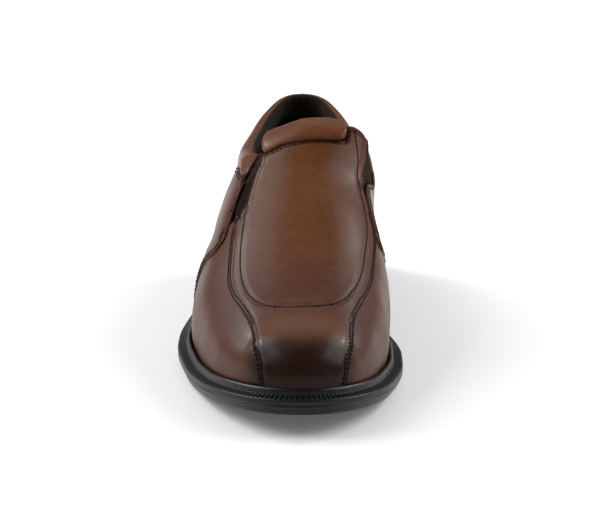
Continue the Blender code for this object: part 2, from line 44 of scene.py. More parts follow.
# The last, with the solids' own tables, in millimetres
soleForm = {
    "length": 302.0,
    "heelRound": 36.0,
    "toeRound": 52.0,
    "toeCentre": 3.5,
    "heelFront": 73.0,
    "heelBreast": 77.0,
    "weltBand": 2.75,
    # station from the heel's back, lateral edge, medial edge
    "plan": np.array([
        (0, -33.5, 33.0), (38, -34.5, 33.5), (70, -37.0, 32.5), (100, -40.5, 30.0), (125, -45.0, 30.0),
        (145, -49.5, 33.0), (160, -53.0, 37.5), (175, -55.5, 43.0), (190, -56.0, 47.3), (205, -54.8, 49.3),
        (220, -52.0, 49.4), (235, -48.7, 48.0), (250, -44.3, 45.2), (270, -38.0, 41.5), (285, -34.2, 39.0),
        (302, -32.0, 37.0)]),
    # station, underside, top of the welt's rim, how far in the upper meets it
    "edge": np.array([
        (0, 0.0, 24.0, 5.8), (45, 0.0, 23.5, 5.8), (73, 0.0, 22.0, 5.8), (77, 9.0, 21.7, 5.8),
        (112, 9.5, 17.8, 6.0), (140, 4.5, 13.5, 6.4), (168, 0.0, 9.8, 6.8), (200, 0.0, 8.2, 7.2),
        (226, 0.0, 8.2, 7.3), (255, 2.8, 10.6, 7.3), (280, 6.4, 14.1, 7.3), (302, 9.6, 17.1, 7.3)]),
}
wallForm = {
    "columns": ("share", "flare", "rise", "reach", "drop", "topStation", "topX", "topZ"),
    "throat": 0.53,
    "collar": 0.40,
    "thickness": 2.2,
    "footLift": 1.3,
    lateral: np.array([
        (0.00, 3.5, 0.40, 1.5, 22, 5.5, 0.3, 91.0), (0.05, 3.5, 0.40, 1.5, 22, 7.5, -7.4, 90.5),
        (0.10, 4.0, 0.40, 2.0, 22, 14, -13.8, 88.6), (0.15, 4.0, 0.40, 3.0, 22, 27, -18.8, 85.8),
        (0.25, 3.5, 0.45, 4.0, 22, 58, -24.5, 81.6), (0.35, 3.5, 0.45, 7.0, 24, 92, -27.0, 81.0),
        (0.42, 3.5, 0.45, 10.0, 22, 119, -26.0, 83.6), (0.46, 3.0, 0.43, 14.0, 18, 133, -23.0, 86.8),
        (0.49, 2.5, 0.42, 17.5, 13, 140.5, -17.0, 89.4), (0.51, 2.5, 0.42, 24.0, 6.5, 144.2, -6.0, 95.0),
        (0.53, 3.0, 0.42, 32.0, 1, 146, 7.0, 99.6), (0.60, 5.0, 0.45, 30.0, 0, 172, 6.3, 84.0),
        (0.66, 6.0, 0.48, 27.0, 0, 193, 5.8, 73.5), (0.72, 5.5, 0.50, 25.0, 0, 213, 5.2, 63.5),
        (0.80, 4.0, 0.55, 22.0, 0, 237, 4.5, 53.0), (0.88, 2.8, 0.60, 20.0, 0, 254, 4.0, 46.5),
        (0.94, 2.2, 0.65, 20.0, 0, 264, 3.6, 43.3), (1.00, 2.0, 0.68, 20.0, 0, 268, 3.5, 42.0)]),
    medial: np.array([
        (0.00, 3.5, 0.40, 1.5, 22, 5.5, 0.3, 91.0), (0.05, 3.5, 0.40, 1.5, 22, 7.5, 7.8, 90.5),
        (0.10, 4.0, 0.40, 2.0, 22, 14, 14.5, 88.8), (0.15, 4.0, 0.40, 3.0, 22, 27, 19.6, 86.2),
        (0.25, 4.5, 0.45, 4.0, 22, 58, 26.0, 82.8), (0.35, 9.0, 0.45, 7.0, 26, 92, 29.5, 84.4),
        (0.42, 13.0, 0.45, 8.0, 26, 120, 32.0, 91.0), (0.46, 14.5, 0.45, 7.5, 24, 134, 32.5, 95.0),
        (0.493, 15.5, 0.45, 11.5, 13, 139.5, 25.0, 102.2), (0.512, 16.0, 0.45, 18.7, 6.5, 143.8, 17.0, 101.8),
        (0.53, 16.0, 0.45, 30.3, 1, 146, 7.0, 99.6), (0.60, 13.0, 0.45, 28.6, 0, 172, 6.3, 84.0),
        (0.66, 7.5, 0.48, 26.0, 0, 193, 5.8, 73.5), (0.72, 5.0, 0.50, 25.0, 0, 213, 5.2, 63.5),
        (0.80, 3.5, 0.55, 22.0, 0, 237, 4.5, 53.0), (0.88, 2.8, 0.60, 20.0, 0, 254, 4.0, 46.5),
        (0.94, 2.2, 0.65, 20.0, 0, 264, 3.6, 43.3), (1.00, 2.0, 0.68, 20.0, 0, 268, 3.5, 42.0)]),
}


def through(points, values):
    # a smooth curve through the rows that never swings past them
    points, values = np.asarray(points, float), np.asarray(values, float)
    step = np.diff(points)
    rise = np.diff(values) / step
    slope = np.empty_like(values)
    slope[0], slope[-1] = rise[0], rise[-1]
    before, after = rise[:-1], rise[1:]
    mean = (before * step[1:] + after * step[:-1]) / (step[:-1] + step[1:])
    limit = 3 * np.minimum(abs(before), abs(after))
    slope[1:-1] = np.where(before * after > 0, np.sign(mean) * np.minimum(abs(mean), limit), 0)

    def value(place):
        place = np.asarray(place, float)
        row = np.clip(np.searchsorted(points, place, side="right") - 1, 0, len(points) - 2)
        width = step[row]
        part = np.clip((place - points[row]) / width, 0, 1)
        start = (1 + 2 * part) * (1 - part) ** 2 * values[row] + part * (1 - part) ** 2 * width * slope[row]
        end = part ** 2 * (3 - 2 * part) * values[row + 1] + part ** 2 * (part - 1) * width * slope[row + 1]
        return start + end
    return value


def ease(low, high, value):
    part = np.clip((value - low) / (high - low), 0, 1)
    return part * part * (3 - 2 * part)


def unit(vectors):
    return vectors / np.linalg.norm(vectors, axis=-1)[..., None]


def lengthAlong(points):
    # running length of a path, or of each row of a sheet
    run = np.cumsum(np.linalg.norm(np.diff(points, axis=-2), axis=-1), axis=-1)
    return np.concatenate([np.zeros(run.shape[:-1] + (1,)), run], -1)


soleLength = soleForm["length"]
undersideAt, rimAt, insetAt = (through(soleForm["edge"][:, 0], soleForm["edge"][:, k]) for k in (1, 2, 3))
edgeXAt = {side: through(soleForm["plan"][:, 0], soleForm["plan"][:, k]) for side, k in ((lateral, 1), (medial, 2))}
throat = wallForm["throat"]
wallCurves = {}
for side in (lateral, medial):
    table = wallForm[side]
    opening = table[table[:, 0] <= throat]
    wallCurves[side] = {}
    for k, name in enumerate(wallForm["columns"][1:], 1):
        rows = opening if name.startswith("top") else table
        wallCurves[side][name] = through(rows[:, 0], rows[:, k])
ridgeRows = wallForm[lateral][wallForm[lateral][:, 0] >= throat]
ridgeCurves = {name: through(ridgeRows[:, 0], ridgeRows[:, k])
               for k, name in enumerate(wallForm["columns"]) if k > 4}


def halfOutline(side):
    station = soleLength * (1 - np.cos(np.pi * np.linspace(0, 1, 600))) / 2
    heel = np.clip((soleForm["heelRound"] - station) / soleForm["heelRound"], 0, 1)
    toe = np.clip((station - soleLength + soleForm["toeRound"]) / soleForm["toeRound"], 0, 1)
    across = edgeXAt[side](station) * np.sqrt(1 - heel ** 2.2)
    across = soleForm["toeCentre"] + (across - soleForm["toeCentre"]) * np.sqrt(1 - toe ** 2.6)
    points = np.stack([across, soleLength / 2 - station], 1)
    along = np.gradient(points, axis=0)
    along[0], along[-1] = (side, 0), (-side, 0)
    along = unit(along)
    outward = np.stack([along[:, 1], -along[:, 0]], 1) * -side
    run = lengthAlong(points)
    return points, outward, station, run / run[-1]


halves = {side: halfOutline(side) for side in (lateral, medial)}
centreX = (halves[lateral][0][:, 0].min() + halves[medial][0][:, 0].max()) / 2


def edgeAt(side, share):
    points, outward, station, shares = halves[side]
    x, y = (np.interp(share, shares, points[:, axis]) for axis in (0, 1))
    outX, outY = (np.interp(share, shares, outward[:, axis]) for axis in (0, 1))
    size = np.hypot(outX, outY)
    return x, y, outX / size, outY / size, np.interp(share, shares, station)


def wallHandles(side, share):
    curve = {name: wallCurves[side][name](share) for name in wallForm["columns"][1:]}
    for name, ridge in ridgeCurves.items():
        curve[name] = np.where(share < throat, curve[name], ridge(share))
    x, y, outX, outY, station = edgeAt(side, share)
    inset = insetAt(station)
    footY = y - outY * inset
    foot = np.stack([x - outX * inset, footY, rimAt(soleLength / 2 - footY) + wallForm["footLift"]], -1)
    top = np.stack([curve["topX"], soleLength / 2 - curve["topStation"], curve["topZ"]], -1)
    height = top[..., 2] - foot[..., 2]
    low = foot + np.stack([outX * curve["flare"], outY * curve["flare"], curve["rise"] * height], -1)
    across = unit(foot[..., :2] - top[..., :2])
    blend = ease(wallForm["collar"], throat, share)[..., None]
    across = unit(np.stack([outX, outY], -1) * (1 - blend) + across * blend)
    back = np.clip(share, throat, 0.992)
    rise = ridgeCurves["topZ"](back + 0.004) - ridgeCurves["topZ"](back)
    run = ridgeCurves["topStation"](back + 0.004) - ridgeCurves["topStation"](back)
    fall = -rise / run * across[..., 1] * np.clip((share - throat + 0.06) / 0.06, 0, 1)
    high = top + np.concatenate([across, fall[..., None]], -1) * curve["reach"][..., None]
    high[..., 2] -= curve["drop"]
    return foot, low, high, top


# a firmer edge round the top of the toe's flat front: share and height it runs along, and how far it stands out
toeEdge = {
    "rise": 2.0, "spread": 0.15, "from": (0.87, 0.92), "below": (0.84, 0.98),
    lateral: through((0.85, 0.892, 0.906, 0.919, 0.944, 1.0), (0.24, 0.38, 0.45, 0.52, 0.65, 0.71)),
    medial: through((0.85, 0.892, 0.904, 0.916, 0.947, 1.0), (0.26, 0.41, 0.49, 0.56, 0.67, 0.71)),
}


def wallPoint(side, share, height):
    share, height = np.broadcast_arrays(np.asarray(share, float), np.asarray(height, float))
    foot, low, high, top = wallHandles(side, share)
    up = height[..., None]
    down = 1 - up
    point = down ** 3 * foot + 3 * up * down ** 2 * low + 3 * up ** 2 * down * high + up ** 3 * top
    outX, outY = edgeAt(side, share)[2:4]
    firm = toeEdge["rise"] * np.exp(-((height - toeEdge[side](share)) / toeEdge["spread"]) ** 2)
    firm = firm * ease(*toeEdge["from"], share) * (1 - ease(*toeEdge["below"], height))
    return point + np.stack([outX * 0.7, outY * 0.7, np.full_like(outX, 0.71)], -1) * firm[..., None]


def wallNormal(side, share, height):
    step = 0.002
    ahead = wallPoint(side, np.minimum(share + step, 1), height)
    behind = wallPoint(side, np.maximum(share - step, 0), height)
    above = wallPoint(side, share, np.minimum(height + step, 1))
    below = wallPoint(side, share, np.maximum(height - step, 0))
    return unit(np.cross(ahead - behind, above - below) * -side)


def lifted(side, share, height, distance):
    distance = np.broadcast_to(np.asarray(distance, float), np.shape(share))
    return wallPoint(side, share, height) + wallNormal(side, share, height) * distance[..., None]


# Mesh helpers
def gridFrom(points):
    # a grid with the table's rows and columns, each vertex moved to its place
    rows, columns = points.shape[:2]
    bm = bmesh.new()
    bmesh.ops.create_grid(bm, x_segments=columns - 1, y_segments=rows - 1, size=0.5)
    places = (points - (centreX, 0, 0)) * mm
    for vert in bm.verts:
        column = round((vert.co.x + 0.5) * (columns - 1))
        row = round((vert.co.y + 0.5) * (rows - 1))
        vert.co = places[row, column]
    bm.normal_update()
    return bm


def closed(bm, capEnds=False):
    # doubles merged, open ends capped, faces turned outward
    bmesh.ops.remove_doubles(bm, verts=bm.verts, dist=1e-6)
    if capEnds:
        bmesh.ops.holes_fill(bm, edges=[edge for edge in bm.edges if edge.is_boundary], sides=0)
    bmesh.ops.recalc_face_normals(bm, faces=bm.faces)
    return bm


def shellFrom(outer, normal, thickness, thinSides=True, lined=False):
    # a sheet with its own thickness: outer rows, then the inner rows back again, closed at every border
    inner = outer - normal * thickness
    if thinSides:  # the first and last columns run out to an edge
        inner[:, 0], inner[:, -1] = outer[:, 0], outer[:, -1]
    bm = gridFrom(np.concatenate([outer, inner[::-1], outer[:1]], 0))
    bm.verts.index_update()
    rows, columns = outer.shape[:2]
    for face in bm.faces:
        first = min(vert.index // columns for vert in face.verts)
        face.material_index = 1 if lined and rows - 1 <= first < 2 * rows - 1 else 0
    return closed(bm)


def addPiece(name, bm, materials, replaces=()):
    mesh = bpy.data.meshes.new(name)
    bm.to_mesh(mesh)
    bm.free()
    mesh.shade_smooth()
    for material in materials:
        mesh.materials.append(material)
    piece = bpy.data.objects.new(name, mesh)
    bpy.context.scene.collection.objects.link(piece)
    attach(piece, "root")
    if replaces:
        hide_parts(*replaces)
    return piece


# Burnish of the leather, with painted shade on the toe front and beside the toe seams, and darker low on the sides:
# stations, widths and heights in millimetres, and strengths from 0 to 1
toneForm = {
    "middle": 4.5, "halfWidth": 30.0, "tanFrom": (120, 160), "tanTo": (205, 258),
    # toe front: darkened partly by burnish, partly as painted shade of the front face
    "toeMiddle": 4.0, "toeSides": (15, 27), "toeFront": (274, 286), "toeTop": (35, 41), "toeDark": 0.9,
    # darker low on the sides, towards the welt: reach, stations, strength
    "lowReach": 16, "lowTo": (255, 275), "lowDark": 0.25,
    # darker beside the toe seams, partly rubbed and partly painted shade: reach, stations, strength
    "seamReach": 7, "seamFrom": (222, 262), "seamDark": 0.30,
    "bandAt": 270, "bandReach": 8, "bandTan": 0.7, "waxFrom": (256, 274),
}


def paintTone(piece, extraWarm=0.0, edges=None):
    # how warm the burnish is; how dark from burnish, from painted shade on the toe front and beside the toe seams,
    # and low on the sides; and how much wax it has, from the place on the last
    mesh = piece.data
    co = np.empty(len(mesh.vertices) * 3)
    mesh.vertices.foreach_get("co", co)
    x, y, z = (co.reshape(-1, 3) / mm + (centreX, 0, 0)).T
    station = soleLength / 2 - y
    form = toneForm
    offMiddle = (x - form["middle"]) / form["halfWidth"]
    warm = np.exp(-offMiddle ** 2 * 1.6) * ease(*form["tanFrom"], station) * (1 - ease(*form["tanTo"], station))
    between = 1 - ease(*form["toeSides"], abs(x - form["toeMiddle"]))
    # the toe's front face darkened: partly burnish, partly painted shade of a face turned from the light
    toeFront = ease(*form["toeFront"], station) * (1 - ease(*form["toeTop"], z)) * (0.25 + 0.75 * between)
    # darker low on the sides, towards the welt
    lowSide = 1 - ease(0, form["lowReach"], z - rimAt(np.clip(station, 0, soleLength)))
    dark = form["toeDark"] * toeFront + form["lowDark"] * lowSide * (1 - ease(*form["lowTo"], station))
    if edges is not None:  # darker along the front seams: rubbed in, and painted shade beside them
        # painted shade beside the toe seams, with some rubbing
        seam = nearest(np.stack([x, y, z], -1), edges)
        dark = dark + form["seamDark"] * np.exp(-(seam / form["seamReach"]) ** 2) * ease(*form["seamFrom"], station)
    dark = np.clip(dark, 0, 1)
    band = form["bandTan"] * between * np.exp(-((station - form["bandAt"]) / form["bandReach"]) ** 2)
    warm = np.clip(warm + extraWarm + band, 0, 1)
    wax = ease(*form["waxFrom"], station)
    tone = mesh.attributes.new("tone", "FLOAT_COLOR", "POINT")
    tone.data.foreach_set("color", np.stack([warm, dark, wax, np.ones_like(dark)], 1).ravel())


# Materials
def linear(hexCode):
    values = [int(hexCode[k:k + 2], 16) / 255 for k in (1, 3, 5)]
    return [v / 12.92 if v <= 0.04045 else ((v + 0.055) / 1.055) ** 2.4 for v in values] + [1.0]


def addNode(tree, kind, settings=None, inputs=None, links=None):
    node = tree.nodes.new(kind)
    for name, value in (settings or {}).items():
        setattr(node, name, value)
    for name, value in (inputs or {}).items():
        node.inputs[name].default_value = value
    for name, source in (links or {}).items():
        tree.links.new(source, node.inputs[name])
    return node


def newMaterial(name, shaderInputs):
    material = bpy.data.materials.new(name)
    material.use_nodes = True
    shader = material.node_tree.nodes["Principled BSDF"]
    for key, value in shaderInputs.items():
        shader.inputs[key].default_value = value
    return material, material.node_tree, shader


def surfaceFrom(tree, shader, colour, shading, shades, relief=None, bump=()):
    # one colour made darker and lighter by a pattern, and raised a little by the same pattern or another
    start, low, high = shades
    shade = addNode(tree, "ShaderNodeMapRange", links={"Value": shading},
                    inputs={"From Min": start, "From Max": 0.7, "To Min": low, "To Max": high})
    tint = addNode(tree, "ShaderNodeMix", {"data_type": "RGBA", "blend_type": "MULTIPLY"},
                   {"Factor": 1.0, "A": linear(colour)}, {"B": shade.outputs["Result"]})
    tree.links.new(tint.outputs["Result"], shader.inputs["Base Color"])
    if relief:
        raised = addNode(tree, "ShaderNodeBump", inputs={"Strength": bump[0], "Distance": bump[1]},
                         links={"Height": relief})
        tree.links.new(raised.outputs["Normal"], shader.inputs["Normal"])


def polishedCalfLeather(name, brown, warmBrown, darkBrown):
    # Aniline calf, burnished by hand: tan where it was rubbed; near black at the toe front, part burnish and part
    # painted shade, darker beside the toe seams and low on the sides; with a soft waxy sheen over fine pores
    material, tree, shader = newMaterial(name, {
        "Roughness": 0.36, "IOR": 1.17, "Coat Roughness": 0.21, "Coat IOR": 1.42})
    onPiece = {"Vector": addNode(tree, "ShaderNodeTexCoord").outputs["Object"]}
    tone = addNode(tree, "ShaderNodeAttribute", {"attribute_name": "tone"})
    parts = addNode(tree, "ShaderNodeSeparateColor", links={"Color": tone.outputs["Color"]})
    cloud = addNode(tree, "ShaderNodeTexNoise", inputs={"Scale": 1 / 0.022, "Detail": 4.0, "Roughness": 0.55},
                    links=onPiece)  # rubbed clouds about 22 mm across
    fleck = addNode(tree, "ShaderNodeTexNoise", inputs={"Scale": 1 / 0.0035, "Detail": 3.0},
                    links=onPiece)  # dye flecks about 3.5 mm across
    sway = addNode(tree, "ShaderNodeMath", {"operation": "MULTIPLY_ADD"}, {1: 0.45, 2: -0.22},
                   {0: cloud.outputs["Fac"]})
    warm = addNode(tree, "ShaderNodeMath", {"operation": "ADD", "use_clamp": True},
                   links={0: parts.outputs["Red"], 1: sway.outputs[0]})
    base = addNode(tree, "ShaderNodeMix", {"data_type": "RGBA"}, {"A": linear(brown), "B": linear(warmBrown)},
                   {"Factor": warm.outputs[0]})
    # the dark channel: burnish, with painted shade on the toe front and beside the toe seams
    darkenedBase = addNode(tree, "ShaderNodeMix", {"data_type": "RGBA"}, {"B": linear(darkBrown)},
                    {"Factor": parts.outputs["Green"], "A": base.outputs["Result"]})
    speck = addNode(tree, "ShaderNodeMapRange", links={"Value": fleck.outputs["Fac"]},
                    inputs={"From Min": 0.35, "From Max": 0.7, "To Min": 0.88, "To Max": 1.07})
    tint = addNode(tree, "ShaderNodeMix", {"data_type": "RGBA", "blend_type": "MULTIPLY"}, {"Factor": 1.0},
                   {"A": darkenedBase.outputs["Result"], "B": speck.outputs["Result"]})
    tree.links.new(tint.outputs["Result"], shader.inputs["Base Color"])
    gloss = addNode(tree, "ShaderNodeMapRange", links={"Value": cloud.outputs["Fac"]},
                    inputs={"From Min": 0.3, "From Max": 0.7, "To Min": 0.30, "To Max": 0.42})
    tree.links.new(gloss.outputs["Result"], shader.inputs["Roughness"])
    wax = addNode(tree, "ShaderNodeMath", {"operation": "MULTIPLY_ADD"}, {1: 0.13, 2: 0.05},
                  {0: parts.outputs["Blue"]})  # more wax was rubbed in at the toe
    tree.links.new(wax.outputs[0], shader.inputs["Coat Weight"])
    pores = addNode(tree, "ShaderNodeTexVoronoi", inputs={"Scale": 1 / 0.0009},
                    links=onPiece)  # pores 0.9 mm apart, coarser than calf's, to show
    ripple = addNode(tree, "ShaderNodeTexNoise", inputs={"Scale": 1 / 0.006, "Detail": 5.0},
                     links=onPiece)  # soft unevenness about 6 mm across
    poreBump = addNode(tree, "ShaderNodeBump", inputs={"Strength": 0.12, "Distance": 0.0002},
                       links={"Height": pores.outputs["Distance"]})
    softBump = addNode(tree, "ShaderNodeBump", inputs={"Strength": 0.22, "Distance": 0.0006},
                       links={"Height": ripple.outputs["Fac"], "Normal": poreBump.outputs["Normal"]})
    tree.links.new(softBump.outputs["Normal"], shader.inputs["Normal"])
    return material


def mattLining(name, colour):
    # Split-leather lining: dark, dry and even, with a short nap
    material, tree, shader = newMaterial(name, {"Roughness": 0.95, "IOR": 1.2, "Sheen Weight": 0.03})
    onPiece = {"Vector": addNode(tree, "ShaderNodeTexCoord").outputs["Object"]}
    nap = addNode(tree, "ShaderNodeTexNoise", inputs={"Scale": 1 / 0.0012, "Detail": 4.0},
                  links=onPiece)  # nap in tufts of about 1.2 mm, coarse enough to show
    surfaceFrom(tree, shader, colour, nap.outputs["Fac"], (0.3, 0.75, 1.2), nap.outputs["Fac"], (0.3, 0.0003))
    return material


def mouldedRubber(name, colour, roughness):
    # Moulded rubber: black, satin from the mould's fine spark finish
    material, tree, shader = newMaterial(name, {"Roughness": roughness, "IOR": 1.34})
    onPiece = {"Vector": addNode(tree, "ShaderNodeTexCoord").outputs["Object"]}
    grit = addNode(tree, "ShaderNodeTexNoise", inputs={"Scale": 1 / 0.0008, "Detail": 3.0},
                   links=onPiece)  # mould grit of about 0.8 mm, coarse enough to show
    bloom = addNode(tree, "ShaderNodeTexNoise", inputs={"Scale": 1 / 0.03, "Detail": 3.0},
                    links=onPiece)  # faint bloom in patches of about 30 mm
    surfaceFrom(tree, shader, colour, bloom.outputs["Fac"], (0.3, 0.8, 1.25), grit.outputs["Fac"], (0.15, 0.0002))
    return material


def wovenElastic(name, colour):
    # Woven rubber thread with a cotton cover: ribbed, dull
    material, tree, shader = newMaterial(name, {"Roughness": 0.8, "IOR": 1.22})
    onPiece = {"Vector": addNode(tree, "ShaderNodeTexCoord").outputs["Object"]}
    weave = addNode(tree, "ShaderNodeTexVoronoi", inputs={"Scale": 1 / 0.0007},
                    links=onPiece)  # threads about 0.7 mm apart
    spots = weave.outputs["Distance"]
    surfaceFrom(tree, shader, colour, spots, (0.0, 0.7, 1.3), spots, (0.4, 0.0003))
    return material


def waxedThread(name, colour):
    # Waxed polyester thread: nearly black, twisted, a dull glint
    material, tree, shader = newMaterial(name, {"Roughness": 0.55, "IOR": 1.2})
    onPiece = {"Vector": addNode(tree, "ShaderNodeTexCoord").outputs["Object"]}
    twist = addNode(tree, "ShaderNodeTexNoise", inputs={"Scale": 1 / 0.0005, "Detail": 2.0},
                    links=onPiece)  # twist of about 0.5 mm
    surfaceFrom(tree, shader, colour, twist.outputs["Fac"], (0.3, 0.7, 1.3))
    return material


calf = polishedCalfLeather("polished calf leather, burnished, painted shade at the toe", "#4e2c1f", "#61381d", "#1e0c03")
lining = mattLining("lining leather, matt", "#20150f")
rubber = mouldedRubber("moulded rubber, satin", "#0e0d0d", 0.36)
elastic = wovenElastic("woven elastic, ribbed", "#25140d")
thread = waxedThread("waxed thread, dark", "#22110a")
print("materials made")

# Centre panel from the toe to the throat, its double seam and the single U seam inside it
panelForm = {
    "along": 170, "thickness": 0.6, "lift": 1.25, "roll": 1.2, "allowance": 2.4,
    "seamDip": 0.30, "uDip": 0.42, "uPuff": 0.25,
    "near": (0, 0.12, 0.35, 0.7, 1.1, 1.5, 1.9, 2.4, 2.9, 3.4, 3.9, 4.5, 5.2), "inner": 20,
    "rowsFromEdge": (1.7, 3.3), "wing": (22.0, -17.0, 86.0), "wingSpread": 13.5,
    # share and height of the seam, place on the middle line: 0 to 1 up the toe, 1 to 2 back along the ridge
    lateral: np.array([
        (0.940, 0.000, 0.000), (0.938, 0.085, 0.090), (0.928, 0.288, 0.300), (0.898, 0.473, 0.620),
        (0.843, 0.555, 1.064), (0.795, 0.548, 1.290), (0.758, 0.522, 1.447), (0.716, 0.517, 1.564),
        (0.667, 0.552, 1.691), (0.618, 0.582, 1.790), (0.594, 0.604, 1.845), (0.588, 0.640, 1.885),
        (0.566, 0.664, 1.910), (0.548, 0.677, 1.930), (0.534, 0.695, 1.947), (0.515, 0.790, 1.970),
        (0.502, 0.878, 1.985), (0.494, 0.985, 1.998)]),
    medial: np.array([
        (0.928, 0.000, 0.000), (0.927, 0.068, 0.090), (0.919, 0.233, 0.300), (0.897, 0.400, 0.620),
        (0.842, 0.562, 1.064), (0.795, 0.560, 1.290), (0.760, 0.545, 1.447), (0.716, 0.527, 1.564),
        (0.667, 0.528, 1.691), (0.614, 0.545, 1.790), (0.582, 0.563, 1.845), (0.565, 0.582, 1.885),
        (0.542, 0.594, 1.910), (0.523, 0.610, 1.930), (0.508, 0.627, 1.947), (0.483, 0.708, 1.970),
        (0.468, 0.848, 1.985), (0.459, 0.985, 1.998)]),
    # share and height of the U seam, from the throat to the toe
    "uLateral": np.array([
        (0.501, 0.920), (0.508, 0.823), (0.550, 0.670), (0.622, 0.642), (0.683, 0.603), (0.739, 0.590),
        (0.789, 0.613), (0.838, 0.688), (0.863, 0.777), (0.908, 1.000)]),
    "uMedial": np.array([
        (0.489, 0.962), (0.507, 0.718), (0.586, 0.634), (0.654, 0.600), (0.729, 0.605), (0.788, 0.647),
        (0.846, 0.743), (0.908, 1.000)]),
}

# Padded collar rolled over the top line
collarForm = {
    # "wall" is the offset that parts the outer side from the inner side, "thinner" how much the front loses
    "along": 150, "liningFrom": 13, "endRound": 9.0, "wall": -0.4, "frontFrom": (0.33, 0.45),
    "thinner": {lateral: 0.28, medial: 0.5},
    # share on the top line, then share and height of the seam under the padding
    lateral: np.array([
        (0.000, 0.000, 0.775), (0.100, 0.100, 0.790), (0.200, 0.200, 0.820), (0.300, 0.300, 0.860),
        (0.400, 0.400, 0.885), (0.440, 0.440, 0.885), (0.462, 0.466, 0.870), (0.474, 0.487, 0.800),
        (0.481, 0.505, 0.720), (0.484, 0.515, 0.672)]),
    medial: np.array([
        (0.000, 0.000, 0.775), (0.100, 0.100, 0.790), (0.200, 0.200, 0.820), (0.300, 0.300, 0.860),
        (0.360, 0.360, 0.885), (0.383, 0.383, 0.885), (0.399, 0.402, 0.870), (0.408, 0.420, 0.800),
        (0.415, 0.437, 0.720), (0.418, 0.447, 0.680)]),
    # part of the way down to the seam, offset from the wall, lift above the top line
    "profile": np.array([
        (1.03, 0.40, 0), (1.00, 1.40, 0), (0.95, 1.75, 0), (0.85, 2.15, 0), (0.70, 2.40, 0), (0.50, 2.35, 0),
        (0.32, 2.00, 0), (0.18, 1.45, 0), (0.08, 0.80, 0), (0.02, 0.10, 0.1), (0, -0.6, 0.6), (0, -1.5, 0.9),
        (0, -2.4, 1.0), (0, -3.3, 0.9), (0, -4.1, 0.6), (0, -4.7, 0.1), (0.05, -5.1, 0), (0.13, -5.4, 0),
        (0.25, -5.5, 0), (0.45, -5.3, 0), (0.65, -4.8, 0), (0.82, -4.0, 0), (0.94, -3.0, 0), (1.00, -2.0, 0)]),
}

# Upper: one wall from the welt to the collar and the ridge
upperForm = {"rows": 56, "goreDepth": 1.6, "panelSeat": 1.5, "collarSeat": 1.2}
goreSlit = {
    # share and height of the slit's quarter side, then of its vamp side, from top to bottom
    lateral: np.array([
        (0.488, 0.958, 0.497, 0.935), (0.497, 0.850, 0.505, 0.860), (0.515, 0.700, 0.522, 0.750),
        (0.532, 0.605, 0.541, 0.685), (0.546, 0.580, 0.566, 0.665), (0.565, 0.560, 0.587, 0.640),
        (0.573, 0.545, 0.591, 0.606)]),
    medial: np.array([
        (0.421, 0.960, 0.462, 0.950), (0.431, 0.850, 0.468, 0.842), (0.453, 0.700, 0.484, 0.704),
        (0.483, 0.605, 0.508, 0.625), (0.505, 0.580, 0.536, 0.597), (0.531, 0.560, 0.559, 0.579),
        (0.549, 0.545, 0.570, 0.570)]),
}


def curvesThrough(table, count):
    fine = np.linspace(0, 1, count)
    place = np.linspace(0, 1, len(table))
    return np.stack([through(place, table[:, k])(fine) for k in range(table.shape[1])], -1)


def nearest(points, line):
    # distance from each point to the nearest sample of a line
    flat = points.reshape(-1, 3)
    best = np.full(len(flat), 1e9)
    for start in range(0, len(line), 40):
        gap = np.linalg.norm(flat[:, None] - line[None, start:start + 40], axis=2).min(1)
        best = np.minimum(best, gap)
    return best.reshape(points.shape[:-1])


def softened(path, steps):
    # a path with its small corners eased, its two ends kept
    turns = 2 * steps + 1
    weight = np.hanning(turns + 2)[1:-1]
    weight = weight / weight.sum()
    ahead = 2 * path[-1] - path[-2:-steps - 2:-1]
    behind = 2 * path[0] - path[steps:0:-1]
    long = np.concatenate([behind, path, ahead])
    return np.stack([np.convolve(long[:, k], weight, "valid") for k in range(path.shape[1])], -1)


shareSteps = np.concatenate([
    np.linspace(0, 0.16, 22)[:-1], np.linspace(0.16, 0.42, 22)[:-1], np.linspace(0.42, 0.60, 50)[:-1],
    np.linspace(0.60, 0.84, 40)[:-1], np.linspace(0.84, 1, 48)])

# lower border of the tongue pad on the vamp: across, along
padBorder = np.array([
    (-17.6, 9.9), (-16.4, 4.0), (-14.7, 1.2), (-12.7, 0.5), (-7.8, 0.8), (-3.0, 0.3), (2.0, 0.0), (8.1, 0.2),
    (14.3, 0.9), (20.5, 2.0), (22.6, 3.4), (23.8, 6.2), (24.0, 9.3)])


padRoom = {"sides": (-17.8, 24.2), "depth": 1.9, "slope": (0.2, 2.2), "above": 80}


def padSeat(points):
    # how far the leather sinks under the tongue pad
    x, y = points[..., 0], points[..., 1]
    start, end = padRoom["sides"]
    inside = np.minimum(y - np.interp(x, padBorder[:, 0], padBorder[:, 1]), np.minimum(x - start, end - x))
    return padRoom["depth"] * ease(*padRoom["slope"], inside) * (points[..., 2] > padRoom["above"])


# how far a folded edge tucks under, and the width of a needle line
foldForm = {"tuck": 0.4, "needle": 0.5}


def rolledEdge(form, off, shown=1.0):
    # height of a folded edge with its two needle lines, by the distance from the edge
    tuck, needle = foldForm["tuck"], foldForm["needle"]
    lift = (form["lift"] + tuck) * np.sqrt(1 - (1 - np.clip(off / form["roll"], 0, 1)) ** 2) - tuck
    for row in form["rowsFromEdge"]:
        lift = lift - form["seamDip"] * np.exp(-((off - row) / needle) ** 2) * shown
    return lift


